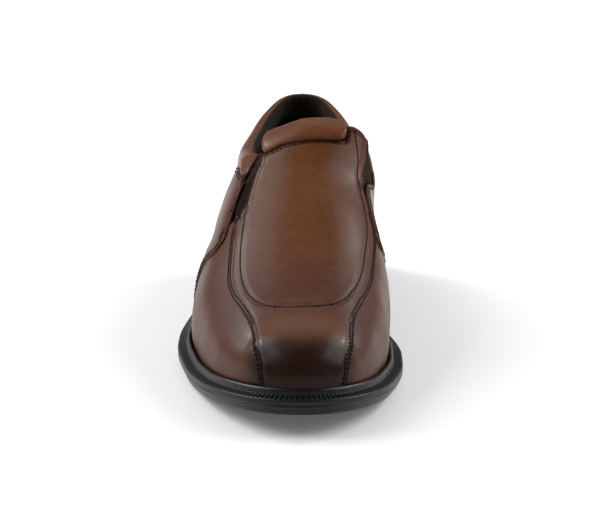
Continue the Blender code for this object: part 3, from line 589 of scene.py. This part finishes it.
def easedSheet(sheet, hold, turns):
    # a sheet smoothed where hold is above 0, with normals from its own grid
    for turn in range(turns):
        mean = sheet.copy()
        mean[1:-1] += 0.5 * (sheet[2:] + sheet[:-2]) - sheet[1:-1]
        mean[:, 1:-1] += 0.5 * (sheet[:, 2:] + sheet[:, :-2]) - sheet[:, 1:-1]
        sheet = sheet + 0.45 * hold[..., None] * (mean - sheet)
    normal = np.cross(np.gradient(sheet, axis=0), np.gradient(sheet, axis=1))
    return sheet, normal / np.maximum(np.linalg.norm(normal, axis=-1), 1e-9)[..., None]


def underCollar(side, share, height):
    # 1 under the padded collar, 0 below its seam
    table = collarForm[side]
    seam = np.interp(share, table[:, 1], table[:, 2])
    return ease(0.0, 0.05, height - seam) * (1 - ease(table[-1, 1] - 0.012, table[-1, 1], share))


def underPanel(side, share, height):
    # 1 well inside the centre panel, 0 at its edge and outside
    edge = through(*np.unique(np.round(panelForm[side][::-1, :2], 4), axis=0).T)
    return ease(0.02, 0.10, height - edge(np.clip(share, 0.48, 0.97))) * ease(0.465, 0.495, share)


def makeUpper():
    heights = np.linspace(0, 1, upperForm["rows"] + 1)
    skins, normals = [], []
    for side in (lateral, medial):
        shares = shareSteps[::-1] if side == lateral else shareSteps[1:]
        share, height = np.meshgrid(shares, heights)
        slit = curvesThrough(goreSlit[side], 60)
        mixes = [slit[:, :2] * (1 - mix) + slit[:, 2:] * mix for mix in (0.1, 0.3, 0.5, 0.7, 0.9)]
        slitLines = np.concatenate([wallPoint(side, *lines.T) for lines in mixes])
        points = wallPoint(side, share, height)
        sunk = upperForm["goreDepth"] * (1 - ease(2.0, 5.0, nearest(points, slitLines)))
        sunk = sunk + padSeat(points) + upperForm["panelSeat"] * underPanel(side, share, height)
        sunk = sunk + upperForm["collarSeat"] * underCollar(side, share, height)
        skins.append(lifted(side, share, height, -sunk))
        normals.append(wallNormal(side, share, height))
    points, outward = np.concatenate(skins, 1), np.concatenate(normals, 1)
    return shellFrom(points, outward, wallForm["thickness"], thinSides=False, lined=True)


upper = addPiece("upperWall", makeUpper(), [calf, lining], ["upper"])
print("upper made:", len(upper.data.polygons), "faces")

# flex creases: place across, place along, half width, bow, depth, thickness
creases = [
    (4, -66, 26, 3.0, 0.10, 1.5), (-6, -72, 20, 2.0, 0.08, 1.3), (14, -60, 22, 3.5, 0.09, 1.4),
    (22, -69, 12, 1.5, 0.12, 1.2), (-14, -62, 12, 1.5, 0.09, 1.2), (2, -54, 18, 2.5, 0.06, 1.4),
]


def creaseDepth(points):
    total = np.zeros(points.shape[:-1])
    for x, y, half, bow, depth, thick in creases:
        across = (points[..., 0] - x) / half
        off = (points[..., 1] - y - bow * across ** 2) / thick
        fade = np.clip(1 - across ** 2, 0, 1)
        total += depth * fade * (np.exp(-off ** 2) - 0.45 * np.exp(-((off - 2.1) / 1.3) ** 2))
    return total


def byLength(side, table, count):
    # shares and heights along a seam, evenly by length on the wall
    rough = curvesThrough(table, 400)
    run = lengthAlong(wallPoint(side, rough[:, 0], rough[:, 1]))
    even = np.linspace(0, run[-1], count)
    return np.stack([np.interp(even, run, rough[:, k]) for k in range(table.shape[1])], -1)


panelSteps = 1 - (1 - np.linspace(0, 1, panelForm["along"])) ** 1.12
toePlace = np.interp(1.0, panelForm[lateral][:, 2], np.linspace(0, 1, len(panelForm[lateral])))


def panelHalf(side):
    # shares and heights of one half of the panel, each row stepped in millimetres from its edge to the middle line
    table = panelForm[side]
    place = np.linspace(0, 1, len(table))
    fine = np.stack([through(place, table[:, k])(panelSteps) for k in range(3)], -1)
    fine[:, :2] = softened(fine[:, :2], 7)
    share = np.where(fine[:, 2] < 1, 1, 1 - (fine[:, 2] - 1) * (1 - throat))
    height = np.minimum(fine[:, 2], 0.9995)
    reach = np.linspace(-0.16, 1, 90)[None, :, None]
    rough = fine[:, None, :2] * (1 - reach) + np.stack([share, height], -1)[:, None] * reach
    rough[..., 1] = np.clip(rough[..., 1], 0, 1)
    run = lengthAlong(wallPoint(side, rough[..., 0], rough[..., 1]))
    zero = np.array([np.interp(0, reach[0, :, 0], row) for row in run])
    allowance = panelForm["allowance"] * (1 - ease(0.52, 0.60, panelSteps))
    near = np.array(panelForm["near"])
    rows = []
    for k in range(len(run)):
        start = zero[k] - allowance[k]
        rest = np.linspace(near[-1], run[k, -1] - start, panelForm["inner"] + 1)[1:]
        stops = start + np.concatenate([near, rest])
        rows.append(np.stack([np.interp(stops, run[k], rough[k, :, c]) for c in (0, 1)], -1))
    return np.array(rows)


panelHalves = {side: panelHalf(side) for side in (lateral, medial)}
uSeam = {}
for side, key in ((lateral, "uLateral"), (medial, "uMedial")):
    uSeam[side] = byLength(side, panelForm[key], 220)
uLine = np.concatenate([wallPoint(lateral, *uSeam[lateral].T), wallPoint(medial, *uSeam[medial][::-1].T)[1:]])
uLine = softened(uLine, 16)


def smoothedPanel():
    # both halves of the panel as one sheet on the last, eased where the throat's wings meet the ridge
    left, right = (wallPoint(side, *np.moveaxis(panelHalves[side], -1, 0)) for side in (lateral, medial))
    sheet = np.concatenate([left, right[:, -2::-1]], 1)
    hold = ease(0.60, 0.74, panelSteps)[:, None] * np.ones(sheet.shape[1])[None, :]
    hold[-1] = 0
    hold = np.maximum(hold, 0.6 * np.exp(-((panelSteps - toePlace) / 0.05) ** 2)[:, None])
    hold[:, :4] = hold[:, -4:] = 0
    sheet = easedSheet(sheet, hold, 80)[0]
    wing = np.exp(-(np.linalg.norm(sheet - panelForm["wing"], axis=-1) / panelForm["wingSpread"]) ** 2)
    column = np.arange(wing.shape[1])
    wing = wing * ease(3, 13, np.minimum(column, column[::-1]))[None, :]
    sheet, normal = easedSheet(sheet, wing, 160)
    return sheet, normal * np.sign(normal[len(normal) // 2, normal.shape[1] // 2, 2])


def makePanel():
    sheet, normal = smoothedPanel()
    near = np.array(panelForm["near"])
    half = np.concatenate([near, np.full(panelForm["inner"], 99.0)])
    columns = np.concatenate([half, half[-2::-1]])[None, :]
    border = np.concatenate([sheet[:, 0], sheet[:, -1], sheet[-1]])
    off = np.minimum(nearest(sheet, border), np.broadcast_to(columns, sheet.shape[:2]))
    lift = rolledEdge(panelForm, off)
    fromU = nearest(sheet, uLine)
    lift = lift - panelForm["uDip"] * np.exp(-(fromU / 0.8) ** 2) + panelForm["uPuff"] * np.exp(-(fromU / 4) ** 2)
    lift = lift - creaseDepth(sheet) * ease(3, 9, off) - padSeat(sheet)
    return sheet + normal * lift[..., None], normal


panelSkin, panelNormal = makePanel()
panelShell = shellFrom(panelSkin, panelNormal, panelForm["thickness"])
panel = addPiece("centrePanel", panelShell, [calf], ["vamp_panel"])
seamEdges = np.concatenate([panelSkin[:90:2, 0], panelSkin[:90:2, -1]])
paintTone(upper, edges=seamEdges)
paintTone(panel, edges=seamEdges)
print("centre panel made:", len(panel.data.polygons), "faces")

# Quarters in one piece round the heel, with a rolled front edge
quarterForm = {
    "across": 90, "near": (0, 0.12, 0.35, 0.7, 1.1, 1.6, 2.2, 2.9, 3.7, 4.6), "thickness": 0.6,
    "lift": 1.25, "roll": 1.2, "rowsFromEdge": (1.7, 3.3), "seamDip": 0.28,
    "heelDip": 0.5, "heelWidth": 0.9, "shareLength": 700, "collarSeat": 2.4,
    # height and share of the front edge
    lateral: np.array([
        (0.000, 0.547), (0.150, 0.556), (0.285, 0.571), (0.400, 0.603), (0.450, 0.614), (0.495, 0.614),
        (0.522, 0.604), (0.535, 0.588), (0.545, 0.572), (0.560, 0.563), (0.580, 0.546), (0.605, 0.532),
        (0.700, 0.515), (0.850, 0.497), (0.960, 0.488), (1.000, 0.484)]),
    medial: np.array([
        (0.000, 0.541), (0.150, 0.550), (0.285, 0.563), (0.400, 0.594), (0.450, 0.604), (0.495, 0.604),
        (0.522, 0.594), (0.535, 0.572), (0.545, 0.549), (0.560, 0.531), (0.580, 0.505), (0.605, 0.483),
        (0.700, 0.453), (0.850, 0.431), (0.960, 0.421), (1.000, 0.418)]),
}
quarterHeights = np.concatenate([
    np.linspace(0, 0.42, 18)[:-1], np.linspace(0.42, 0.62, 28)[:-1], np.linspace(0.62, 1, 22)])


def makeQuarters():
    near = np.array(quarterForm["near"])
    sheets, shares, borders = [], [], []
    for side in (lateral, medial):
        table = quarterForm[side]
        front = through(table[:, 0], table[:, 1])(quarterHeights)
        rough = np.linspace(1, 0, 160)[None, :] * front[:, None]
        tall = np.broadcast_to(quarterHeights[:, None], rough.shape)
        run = lengthAlong(wallPoint(side, rough, tall))
        share = []
        for k in range(len(run)):
            stops = np.concatenate([near, np.linspace(near[-1], run[k, -1], quarterForm["across"])[1:]])
            share.append(np.interp(stops, run[k], rough[k]))
        share = np.array(share)
        tall = np.broadcast_to(quarterHeights[:, None], share.shape)
        fine = np.linspace(0, 1, 700)
        borders.append(wallPoint(side, through(table[:, 0], table[:, 1])(fine), fine))
        sheet, under = wallPoint(side, share, tall), underCollar(side, share, tall)
        if side == medial:
            sheet, share, under = sheet[:, -2::-1], share[:, -2::-1], under[:, -2::-1]
        sheets.append(sheet)
        shares.append((share, under))
    sheet = np.concatenate(sheets, 1)
    share, under = (np.concatenate([pair[k] for pair in shares], 1) for k in (0, 1))
    hold = ease(0.40, 0.48, share) * ease(0.30, 0.40, quarterHeights)[:, None]
    hold[:, :1] = hold[:, -1:] = 0
    sheet, normal = easedSheet(sheet, hold, 60)
    normal = normal * np.sign(normal[20, 20, 0]) * -1
    off = nearest(sheet, np.concatenate(borders))
    off[:, 0] = off[:, -1] = 0
    lift = rolledEdge(quarterForm, off, 1 - under)
    fromHeel = share * quarterForm["shareLength"] / quarterForm["heelWidth"]
    lift = lift - quarterForm["heelDip"] * np.exp(-fromHeel ** 2) - quarterForm["collarSeat"] * under
    return sheet + normal * lift[..., None], normal


quarterSkin, quarterNormal = makeQuarters()
quarterShell = shellFrom(quarterSkin, quarterNormal, quarterForm["thickness"])
quarters = addPiece("quartersLeather", quarterShell, [calf], ["quarters"])
paintTone(quarters)
print("quarters made:", len(quarters.data.polygons), "faces")


def collarHalf(side):
    # rows along the top line, each a rolled section that thins out towards the gore
    table = softened(curvesThrough(collarForm[side], collarForm["along"]), 8)
    part, offset, lift = collarForm["profile"].T
    share = table[:, None, 0] * (1 - part) + table[:, None, 1] * part
    height = 1 - (1 - table[:, None, 2]) * part
    points = wallPoint(side, share, height)
    end = np.linalg.norm(points - points[-1:], axis=2)
    swell = np.sqrt(1 - (1 - np.clip(end / collarForm["endRound"], 0, 1)) ** 2)
    front = ease(*collarForm["frontFrom"], share)
    outer = (0.25 + 0.75 * swell) * (1 - collarForm["thinner"][side] * front)
    inner = (0.4 + 0.6 * swell) * (1 + 0.25 * front)
    wall = collarForm["wall"]
    offset = wall + (offset - wall) * np.where(offset > wall, outer, inner)
    normal = wallNormal(side, share, height)
    rise = unit(wallPoint(side, share, 1.0) - wallPoint(side, share, 0.97))
    lift = lift * swell - 1.2 * (1 - swell) * (lift > 0)
    return points + normal * offset[..., None] + rise * lift[..., None]


def makeCollar():
    left, right = collarHalf(lateral), collarHalf(medial)
    points = np.concatenate([left[::-1], right[1:]], 0)
    points = np.concatenate([points, points[:, :1]], 1)
    bm = gridFrom(points)
    bm.verts.index_update()
    for face in bm.faces:
        place = min(vert.index % points.shape[1] for vert in face.verts)
        face.material_index = 1 if place >= collarForm["liningFrom"] else 0
    return closed(bm, capEnds=True)


collar = addPiece("collarPad", makeCollar(), [calf, lining])
paintTone(collar, extraWarm=0.6)
print("collar made")

# Elastic gores at the bottom of the slits
goreForm = {"along": 60, "across": 64, "margin": 0.012, "ribs": 9, "ribDepth": 0.28, "sink": -0.95, "thickness": 0.8}


def makeGore(side):
    slit = curvesThrough(goreSlit[side], goreForm["along"])
    across = np.linspace(0, 1, goreForm["across"])[None, :]
    share = (slit[:, None, 0] - goreForm["margin"]) * (1 - across) + (slit[:, None, 2] + goreForm["margin"]) * across
    height = slit[:, None, 1] * (1 - across) + slit[:, None, 3] * across
    ribs = goreForm["ribDepth"] * np.cos(2 * np.pi * goreForm["ribs"] * across)
    points = lifted(side, share, height, goreForm["sink"] + ribs)
    return shellFrom(points, wallNormal(side, share, height), goreForm["thickness"])


for side, name, node in ((lateral, "goreLateral", "gore_lateral"), (medial, "goreMedial", "gore_medial")):
    addPiece(name, makeGore(side), [elastic], [node])
print("gores made")

# Tongue pad: a soft pillow above the throat
padForm = {
    "across": 60, "round": 40, "front": 2.1, "back": 3.4,
    # lower border, then upper border: across, along, up
    "rows": np.array([
        (-16.8, 7.0, 90.2, -15.8, 17.6, 96.2), (-15.0, 2.0, 90.8, -13.4, 18.6, 98.0),
        (-8.0, 1.0, 94.6, -6.2, 18.6, 100.6), (2.0, 0.0, 97.2, 3.5, 18.2, 103.9),
        (12.0, 0.6, 97.8, 13.2, 18.2, 104.3), (20.8, 2.4, 97.8, 20.0, 18.2, 103.0),
        (23.8, 7.5, 100.0, 23.2, 17.5, 101.8)]),
}


def makePad():
    place = np.linspace(0, 1, padForm["across"])
    lines = curvesThrough(padForm["rows"], padForm["across"])
    low, high = lines[:, None, :3], lines[:, None, 3:]
    turn = np.linspace(0, 2 * np.pi, padForm["round"] + 1)[None, :, None]
    swell = np.sqrt(np.clip(1 - abs(2 * place - 1) ** 14, 0.0, 1))[:, None, None]
    up = 0.5 - 0.5 * np.cos(turn) * (0.8 + 0.2 * swell)
    thick = np.where(np.sin(turn) > 0, padForm["front"], padForm["back"]) * np.sin(turn) * (0.1 + 0.9 * swell)
    run = np.gradient(lines[:, 3:] + lines[:, :3], axis=0)[:, None, :]
    points = low * (1 - up) + high * up + unit(np.cross(run, high - low)) * thick
    return closed(gridFrom(points), capEnds=True)


pad = addPiece("tonguePad", makePad(), [calf], ["tongue_pad"])
paintTone(pad, extraWarm=0.8)
print("tongue pad made")

# Stitching: short waxed threads in a dark needle line along each seam
stitchForm = {
    "pitch": 2.3, "length": 1.95, "width": 0.85, "height": 0.48, "proud": 0.10, "line": 0.34, "above": 2.6,
    "boldWider": 0.35, "boldLarger": 0.15, "boldFade": 8,
}


def treeOf(piece):
    mesh = piece.data
    return BVHTree.FromPolygons([vert.co for vert in mesh.vertices], [face.vertices for face in mesh.polygons])


def seamOn(tree, points, soft=7):
    # the path laid on a finished piece and eased there: places and normals
    run = lengthAlong(points)
    count = max(4, int(run[-1] / stitchForm["pitch"]) * 4)
    even = np.linspace(0, run[-1], count + 1)
    path = np.stack([np.interp(even, run, points[:, k]) for k in range(3)], -1)
    for turn in range(2):
        spots = [tree.find_nearest(Vector((point - (centreX, 0, 0)) * mm))[:2] for point in path]
        if len(path) > 20:
            path = np.array([spot / mm + normal * 0.8 for spot, normal in spots]) + (centreX, 0, 0)
            path = softened(path, soft)
    return spots


def rowOn(skin, normal, distance):
    # the line on a skin so many millimetres from its first column
    run = lengthAlong(skin[:, :16])
    line = np.array([[np.interp(distance, run[k], skin[k, :16, c]) for c in range(3)] for k in range(len(run))])
    return softened(line, 4) + normal[:, 8] * 1.5


def layStitches(bm, spots, scale=1.0, slant=0.0, bold=0.0):
    # a narrow dark strip, then one flat bead a stitch, larger and slanted over the first bold millimetres
    strip = []
    for k, (spot, normal) in enumerate(spots):
        along = spots[min(k + 1, len(spots) - 1)][0] - spots[max(k - 1, 0)][0]
        across = normal.cross(along).normalized() * stitchForm["line"] * scale * mm
        raised = spot + normal * 0.05 * mm
        strip.append((bm.verts.new(raised - across), bm.verts.new(raised + across)))
    for (a, b), (c, d) in zip(strip[:-1], strip[1:]):
        bm.faces.new((a, c, d, b))
    for k in range(2, len(spots) - 2, 4):
        spot, normal = spots[k]
        fade = stitchForm["boldFade"]
        heavy = float(1 - ease(bold - fade, bold + fade, k * stitchForm["pitch"] / 4)) if bold else 0.0
        along = (spots[k + 1][0] - spots[k - 1][0]).normalized()
        along = Matrix.Rotation(slant * heavy, 3, normal) @ along
        across = normal.cross(along).normalized()
        turn = Matrix((along, across, along.cross(across))).transposed().to_4x4()
        wide = stitchForm["width"] * (1 + stitchForm["boldWider"] * heavy)
        size = Matrix.Diagonal((stitchForm["length"], wide, stitchForm["height"], 1))
        place = Matrix.Translation(spot + normal * stitchForm["proud"] * mm) @ turn @ size
        radius = 0.5 * mm * (scale + stitchForm["boldLarger"] * heavy)
        bmesh.ops.create_uvsphere(bm, u_segments=6, v_segments=4, radius=radius, matrix=place)


def besides(side, table, across, count=300):
    # a line on the last, moved sideways by so many millimetres towards the heel or the top
    path = curvesThrough(table, count)
    points = wallPoint(side, path[:, 0], path[:, 1])
    normal = wallNormal(side, path[:, 0], path[:, 1])
    sideways = unit(np.cross(np.gradient(points, axis=0), normal) * side)
    return points + normal * stitchForm["above"] + sideways * across


panelTree, quarterTree, upperTree = treeOf(panel), treeOf(quarters), treeOf(upper)
goreTacks = {
    "above": 2.4, "half": 0.9, "lean": 0.35, "scale": 0.9,
    # share and height of one end, the other end, how many stitches
    lateral: [(0.578, 0.548, (0.594, 0.598), 8), (0.586, 0.500, (0.597, 0.478), 5)],
    medial: [(0.560, 0.548, (0.576, 0.572), 8), (0.572, 0.500, (0.583, 0.478), 5)],
}
bm = bmesh.new()
for side in (lateral, medial):
    skin, normal = (panelSkin, panelNormal) if side == lateral else (panelSkin[:, ::-1], panelNormal[:, ::-1])
    for number, row in enumerate(panelForm["rowsFromEdge"]):
        last = int(len(skin) * (0.965 if number == 0 else 0.56))
        slant = 0.55 * side * (1 - 2 * number)
        layStitches(bm, seamOn(panelTree, rowOn(skin, normal, row + 0.5)[2:last]), slant=slant, bold=30.0)
    # quarter fronts, two rows below the slit and one beside it
    table = quarterForm[side][:, ::-1]
    for number, row in enumerate(quarterForm["rowsFromEdge"]):
        line = softened(besides(side, table, row), 6)
        tall = curvesThrough(table, len(line))[:, 1]
        keep = (tall > 0.04) * (tall < (0.70 if number == 0 else 0.53))
        layStitches(bm, seamOn(quarterTree, line[keep]))
    # bar tacks: across the foot of the slit, and a short one below it
    for share, height, aim, count in goreTacks[side]:
        spot = lifted(side, share, height, goreTacks["above"])
        end = lifted(side, *aim, goreTacks["above"])
        across = unit(np.cross(end - spot, wallNormal(side, share, height))) * goreTacks["half"]
        tilt = unit(end - spot) * goreTacks["lean"]
        for part in np.linspace(0, 1, count):
            middle = spot * (1 - part) + end * part
            short = middle + np.stack([-across - tilt, -across / 3, across / 3, across + tilt])
            layStitches(bm, seamOn(upperTree if count > 6 else quarterTree, short), scale=goreTacks["scale"])
uNormal = np.concatenate([wallNormal(lateral, *uSeam[lateral].T), wallNormal(medial, *uSeam[medial][::-1].T)[1:]])
layStitches(bm, seamOn(panelTree, uLine + uNormal * 3, soft=18))
bm.normal_update()
addPiece("seamStitches", bm, [thread])
print("seams stitched")

# Collar and throat stitches
bm = bmesh.new()
for side in (lateral, medial):
    table = collarForm[side][:, 1:]
    for below in (-1.3, -2.9):
        line = softened(besides(side, table, below), 14)
        layStitches(bm, seamOn(quarterTree, line[:-14]))
padUp = np.interp(padBorder[:, 0], (-18, -14.7, -7.8, 2, 14, 24), (92, 93, 97, 99.5, 100, 102))
fine = curvesThrough(np.column_stack([padBorder, padUp]), 160)
away = unit(np.cross(np.gradient(fine, axis=0), (0, 0, 1.0)))
for row in (1.7, 3.5):
    layStitches(bm, seamOn(panelTree, softened(fine + away * row, 5)[6:-12]))
bm.normal_update()
addPiece("trimStitches", bm, [thread])
print("trim stitched")

# Welt: bead, ribbed ledge and smooth outer rim
weltForm = {"halfLength": 352.0, "ribPitch": 2.4, "perRib": 6, "ribDepth": 0.62, "beadWidth": 2.0, "beadRise": 3.2}


def beadInset(side, share, station):
    foot, low = wallHandles(side, share)[:2]
    lean = wallCurves[side]["flare"](share) / (low[..., 2] - foot[..., 2])
    return insetAt(station) - lean * (weltForm["beadRise"] - 1.0) - 0.4


def makeWelt():
    half = int(weltForm["halfLength"] / weltForm["ribPitch"]) * weltForm["perRib"]
    shares = np.linspace(0, 1, half + 1)
    wave = 0.5 - 0.5 * np.cos(2 * np.pi * np.arange(half + 1) / weltForm["perRib"])
    bands = []
    for side in (lateral, medial):
        x, y, outX, outY, station = edgeAt(side, shares)
        bead = beadInset(side, shares, station)
        rim = rimAt(station)
        wide = weltForm["beadWidth"]
        ledge = bead - wide - 0.25
        # inset from the sole's edge, height from the rim, share of the rib's dip
        profile = [
            (0.9, -2.74, 0), (0.06, -2.74, 0), (0.01, -2.5, 0), (0, -1.7, 0), (0, -1.0, 0), (0.08, -0.62, 0),
            (0.3, -0.4, 0), (0.58, -0.33, 0), (0.80, -0.3, 0.25), (0.98, -0.02, 0.9), (1.30, 0.06, 1),
            (ledge * 0.55 + 0.6, 0.3, 1), (ledge - 0.35, 0.62, 1), (ledge, 0.5, 0.6),
            (bead - wide, 0.62, 0.2), (bead - wide * 1.02, 1.3, 0),
            (bead - wide * 0.96, 2.1, 0), (bead - wide * 0.82, 2.7, 0), (bead - wide * 0.6, 3.08, 0),
            (bead - wide * 0.36, 3.15, 0), (bead - wide * 0.14, 2.9, 0), (bead - 0.02, 2.4, 0), (bead + 0.1, 1.2, 0),
            (bead + 1.6, 0.9, 0), (bead + 1.6, -2.72, 0)]
        ring = []
        for inset, height, rib in profile:
            z = rim + height - weltForm["ribDepth"] * rib * wave
            ring.append(np.stack([x - outX * inset, y - outY * inset, z], -1))
        bands.append(np.array(ring))
    points = np.concatenate([bands[0], bands[1][:, -2::-1]], 1)
    return closed(gridFrom(np.concatenate([points, points[:1]], 0)))


welt = addPiece("weltRubber", makeWelt(), [rubber], ["welt"])
print("welt made:", len(welt.data.polygons), "faces")


def insetEdge(side, stations, inset):
    # the sole's edge moved in at these stations: across, along, and the station it lands on
    x, y, outX, outY = edgeAt(side, np.interp(stations, halves[side][2], halves[side][3]))[:4]
    ownY = y - outY * inset
    return x - outX * inset, ownY, np.clip(soleLength / 2 - ownY, 0, soleLength)


def spanned(left, right, mix):
    # straight across from the lateral to the medial edge
    return left[:, None] * (1 - mix) + right[:, None] * mix


# Outsole: side wall, heel block, arch and a shallow cross-cut tread
soleTread = {
    "across": 44, "pitch": 7.0, "groove": 2.2, "depth": 0.9, "border": 0.80,
    "areas": ((8, 66), (158, 284)),
}


def makeOutsole():
    front, breast = soleForm["heelFront"], soleForm["heelBreast"]
    stations = np.concatenate([
        soleLength * (1 - np.cos(np.pi * np.linspace(0, 0.16, 26))) / 2,
        np.linspace(19, front - 0.3, 80)[1:], np.linspace(front, breast, 8),
        np.linspace(breast + 0.5, 150, 50), np.linspace(150, 288, 200)[1:],
        soleLength * (1 - np.cos(np.pi * np.linspace(0.865, 1, 34))) / 2])
    stations = np.unique(np.round(stations, 4))
    rings = {}
    # inset from the edge, height above the underside, height from the welt's seam or share of the way to it
    layers = [(4.0, 0.0, None), (2.4, 0.35, None), (1.5, 1.3, None), (0.95, 2.6, None), (0.4, 4.2, 0.5),
              (0.04, None, -1.2), (0.06, None, -0.31), (1.6, None, -0.29), (6.5, None, -0.28)]
    for side in (lateral, medial):
        rows = []
        for inset, above, below in layers:
            x, y, own = insetEdge(side, stations, inset)
            split = rimAt(own) - soleForm["weltBand"]
            floorAt = undersideAt(own)
            if above is None:
                z = split + below + 0.25
            elif below is None:
                z = floorAt + above
            else:
                z = floorAt + np.minimum(above, (split - floorAt) * below + 1.2)
            rows.append(np.stack([x, y, z], -1))
        rings[side] = np.array(rows)
    # underside from the lateral to the medial edge
    mix = np.linspace(0, 1, soleTread["across"])[None, :, None]
    under = spanned(rings[lateral][0], rings[medial][0], mix)
    fromEdge = 1 - abs(2 * mix[..., 0] - 1)
    station = soleLength / 2 - under[..., 1]
    cut = np.zeros(under.shape[:2])
    for start, end in soleTread["areas"]:
        inArea = (station > start) * (station < end) * (fromEdge > 1 - soleTread["border"])
        phase = abs((station - start) / soleTread["pitch"] % 1 - 0.5) * soleTread["pitch"]
        cut += inArea * (1 - ease(soleTread["groove"] / 2 - 0.4, soleTread["groove"] / 2 + 0.2, phase))
    under[..., 2] += cut * soleTread["depth"]
    wall = np.concatenate([rings[lateral], rings[medial][:, -2::-1]], 1)
    lid = spanned(rings[lateral][-1], rings[medial][-1], mix)
    joined = bmesh.new()
    for points in (under, wall, lid):
        mesh = bpy.data.meshes.new("part")
        part = gridFrom(points)
        part.to_mesh(mesh)
        part.free()
        joined.from_mesh(mesh)
        bpy.data.meshes.remove(mesh)
    bmesh.ops.remove_doubles(joined, verts=joined.verts, dist=2e-6)
    bmesh.ops.dissolve_degenerate(joined, edges=joined.edges, dist=1e-6)
    bmesh.ops.recalc_face_normals(joined, faces=joined.faces)
    return joined


outsole = addPiece("outsoleRubber", makeOutsole(), [rubber], ["outsole"])
print("outsole made:", len(outsole.data.polygons), "faces")

# Insole: a lined board, a little cupped at its edge
insoleForm = {"inset": 2.8, "top": 3.0, "thickness": 2.2, "cup": 1.2, "along": 120, "across": 40}


def makeInsole():
    stations = soleLength * (1 - np.cos(np.pi * np.linspace(0, 1, insoleForm["along"]))) / 2
    rings = {}
    for side in (lateral, medial):
        x, y, own = insetEdge(side, stations, insetAt(stations) + insoleForm["inset"])
        rings[side] = np.stack([x, y, rimAt(own) + wallForm["footLift"] + insoleForm["top"]], -1)
    mix = np.linspace(0, 1, insoleForm["across"])[None, :, None]
    top = spanned(rings[lateral], rings[medial], mix)
    top[..., 2] -= insoleForm["cup"] * (1 - abs(2 * mix[..., 0] - 1) ** 4) - insoleForm["cup"]
    upward = np.zeros(top.shape)
    upward[..., 2] = 1
    return shellFrom(top, upward, insoleForm["thickness"])


addPiece("insoleBoard", makeInsole(), [lining], ["insole"])
print("insole made")

# Stage, light and camera
stageForm = {"floor": "#f4f4f4", "floorSize": 8.0, "fill": 0.26, "glow": 0.09}
floorMesh = bpy.data.meshes.new("floor")
bm = bmesh.new()
bmesh.ops.create_grid(bm, x_segments=1, y_segments=1, size=stageForm["floorSize"] / 2)
bmesh.ops.translate(bm, verts=bm.verts, vec=(0, 0, -0.0003))
bm.to_mesh(floorMesh)
bm.free()
paper = newMaterial("white paper sweep", {
    "Base Color": linear(stageForm["floor"]), "Roughness": 0.9, "Emission Color": (1, 1, 1, 1),
    "Emission Strength": stageForm["glow"]})[0]  # matt paper with a faint glow of its own, so that it stays white
floorMesh.materials.append(paper)
floor = bpy.data.objects.new("floor", floorMesh)
bpy.context.scene.collection.objects.link(floor)

world = bpy.data.worlds.new("studio")
bpy.context.scene.world = world
world.use_nodes = True
world.node_tree.nodes["Background"].inputs["Color"].default_value = (1, 1, 1, 1)
world.node_tree.nodes["Background"].inputs["Strength"].default_value = stageForm["fill"]

lamps = [
    # name, place, aim, width and height, power
    ("backBox", (0.0, 1.6, 1.8), (0, 0.2, 0), (1.6, 1.0), 4.5),
    ("leftBox", (-1.75, 0.6, 1.5), (0, 0.1, 0.0), (2.2, 2.0), 56.0),
    ("rightBox", (1.85, 0.6, 1.4), (0, 0.1, 0.0), (2.2, 1.8), 46.0),
    ("leftSpot", (-1.5, 1.15, 1.4), (0, 0, 0.05), (0.13, 0.13), 8.0),
    ("rightSpot", (1.5, 1.15, 1.4), (0, 0, 0.05), (0.18, 0.18), 5.0),
]
for name, place, aim, size, power in lamps:
    light = bpy.data.lights.new(name, "AREA")
    light.shape = "RECTANGLE"
    light.size, light.size_y = size
    light.energy = power
    lamp = bpy.data.objects.new(name, light)
    lamp.location = place
    lamp.rotation_euler = (Vector(aim) - Vector(place)).to_track_quat("-Z", "Y").to_euler()
    bpy.context.scene.collection.objects.link(lamp)

# place in millimetres, angles in radians, focal length in pixels of the photo's width
cameraForm = {"place": (16.7, -1078.0, 331.0), "pitch": 0.263, "yaw": -0.0145, "focal": 2300.0, "frame": 600}
camera = bpy.data.cameras.new("camera")
camera.sensor_fit = "HORIZONTAL"
camera.sensor_width = 36.0
camera.lens = cameraForm["focal"] * camera.sensor_width / cameraForm["frame"]
camera.clip_end = 50
eye = bpy.data.objects.new("camera", camera)
eye.location = [(value - offset) * mm for value, offset in zip(cameraForm["place"], (centreX, 0, 0))]
pitch, yaw = cameraForm["pitch"], cameraForm["yaw"]
forward = Vector((np.sin(yaw) * np.cos(pitch), np.cos(yaw) * np.cos(pitch), -np.sin(pitch)))
eye.rotation_euler = forward.to_track_quat("-Z", "Y").to_euler()
bpy.context.scene.collection.objects.link(eye)
bpy.context.scene.camera = eye
bpy.context.scene.view_settings.view_transform = "Standard"
print("stage set")
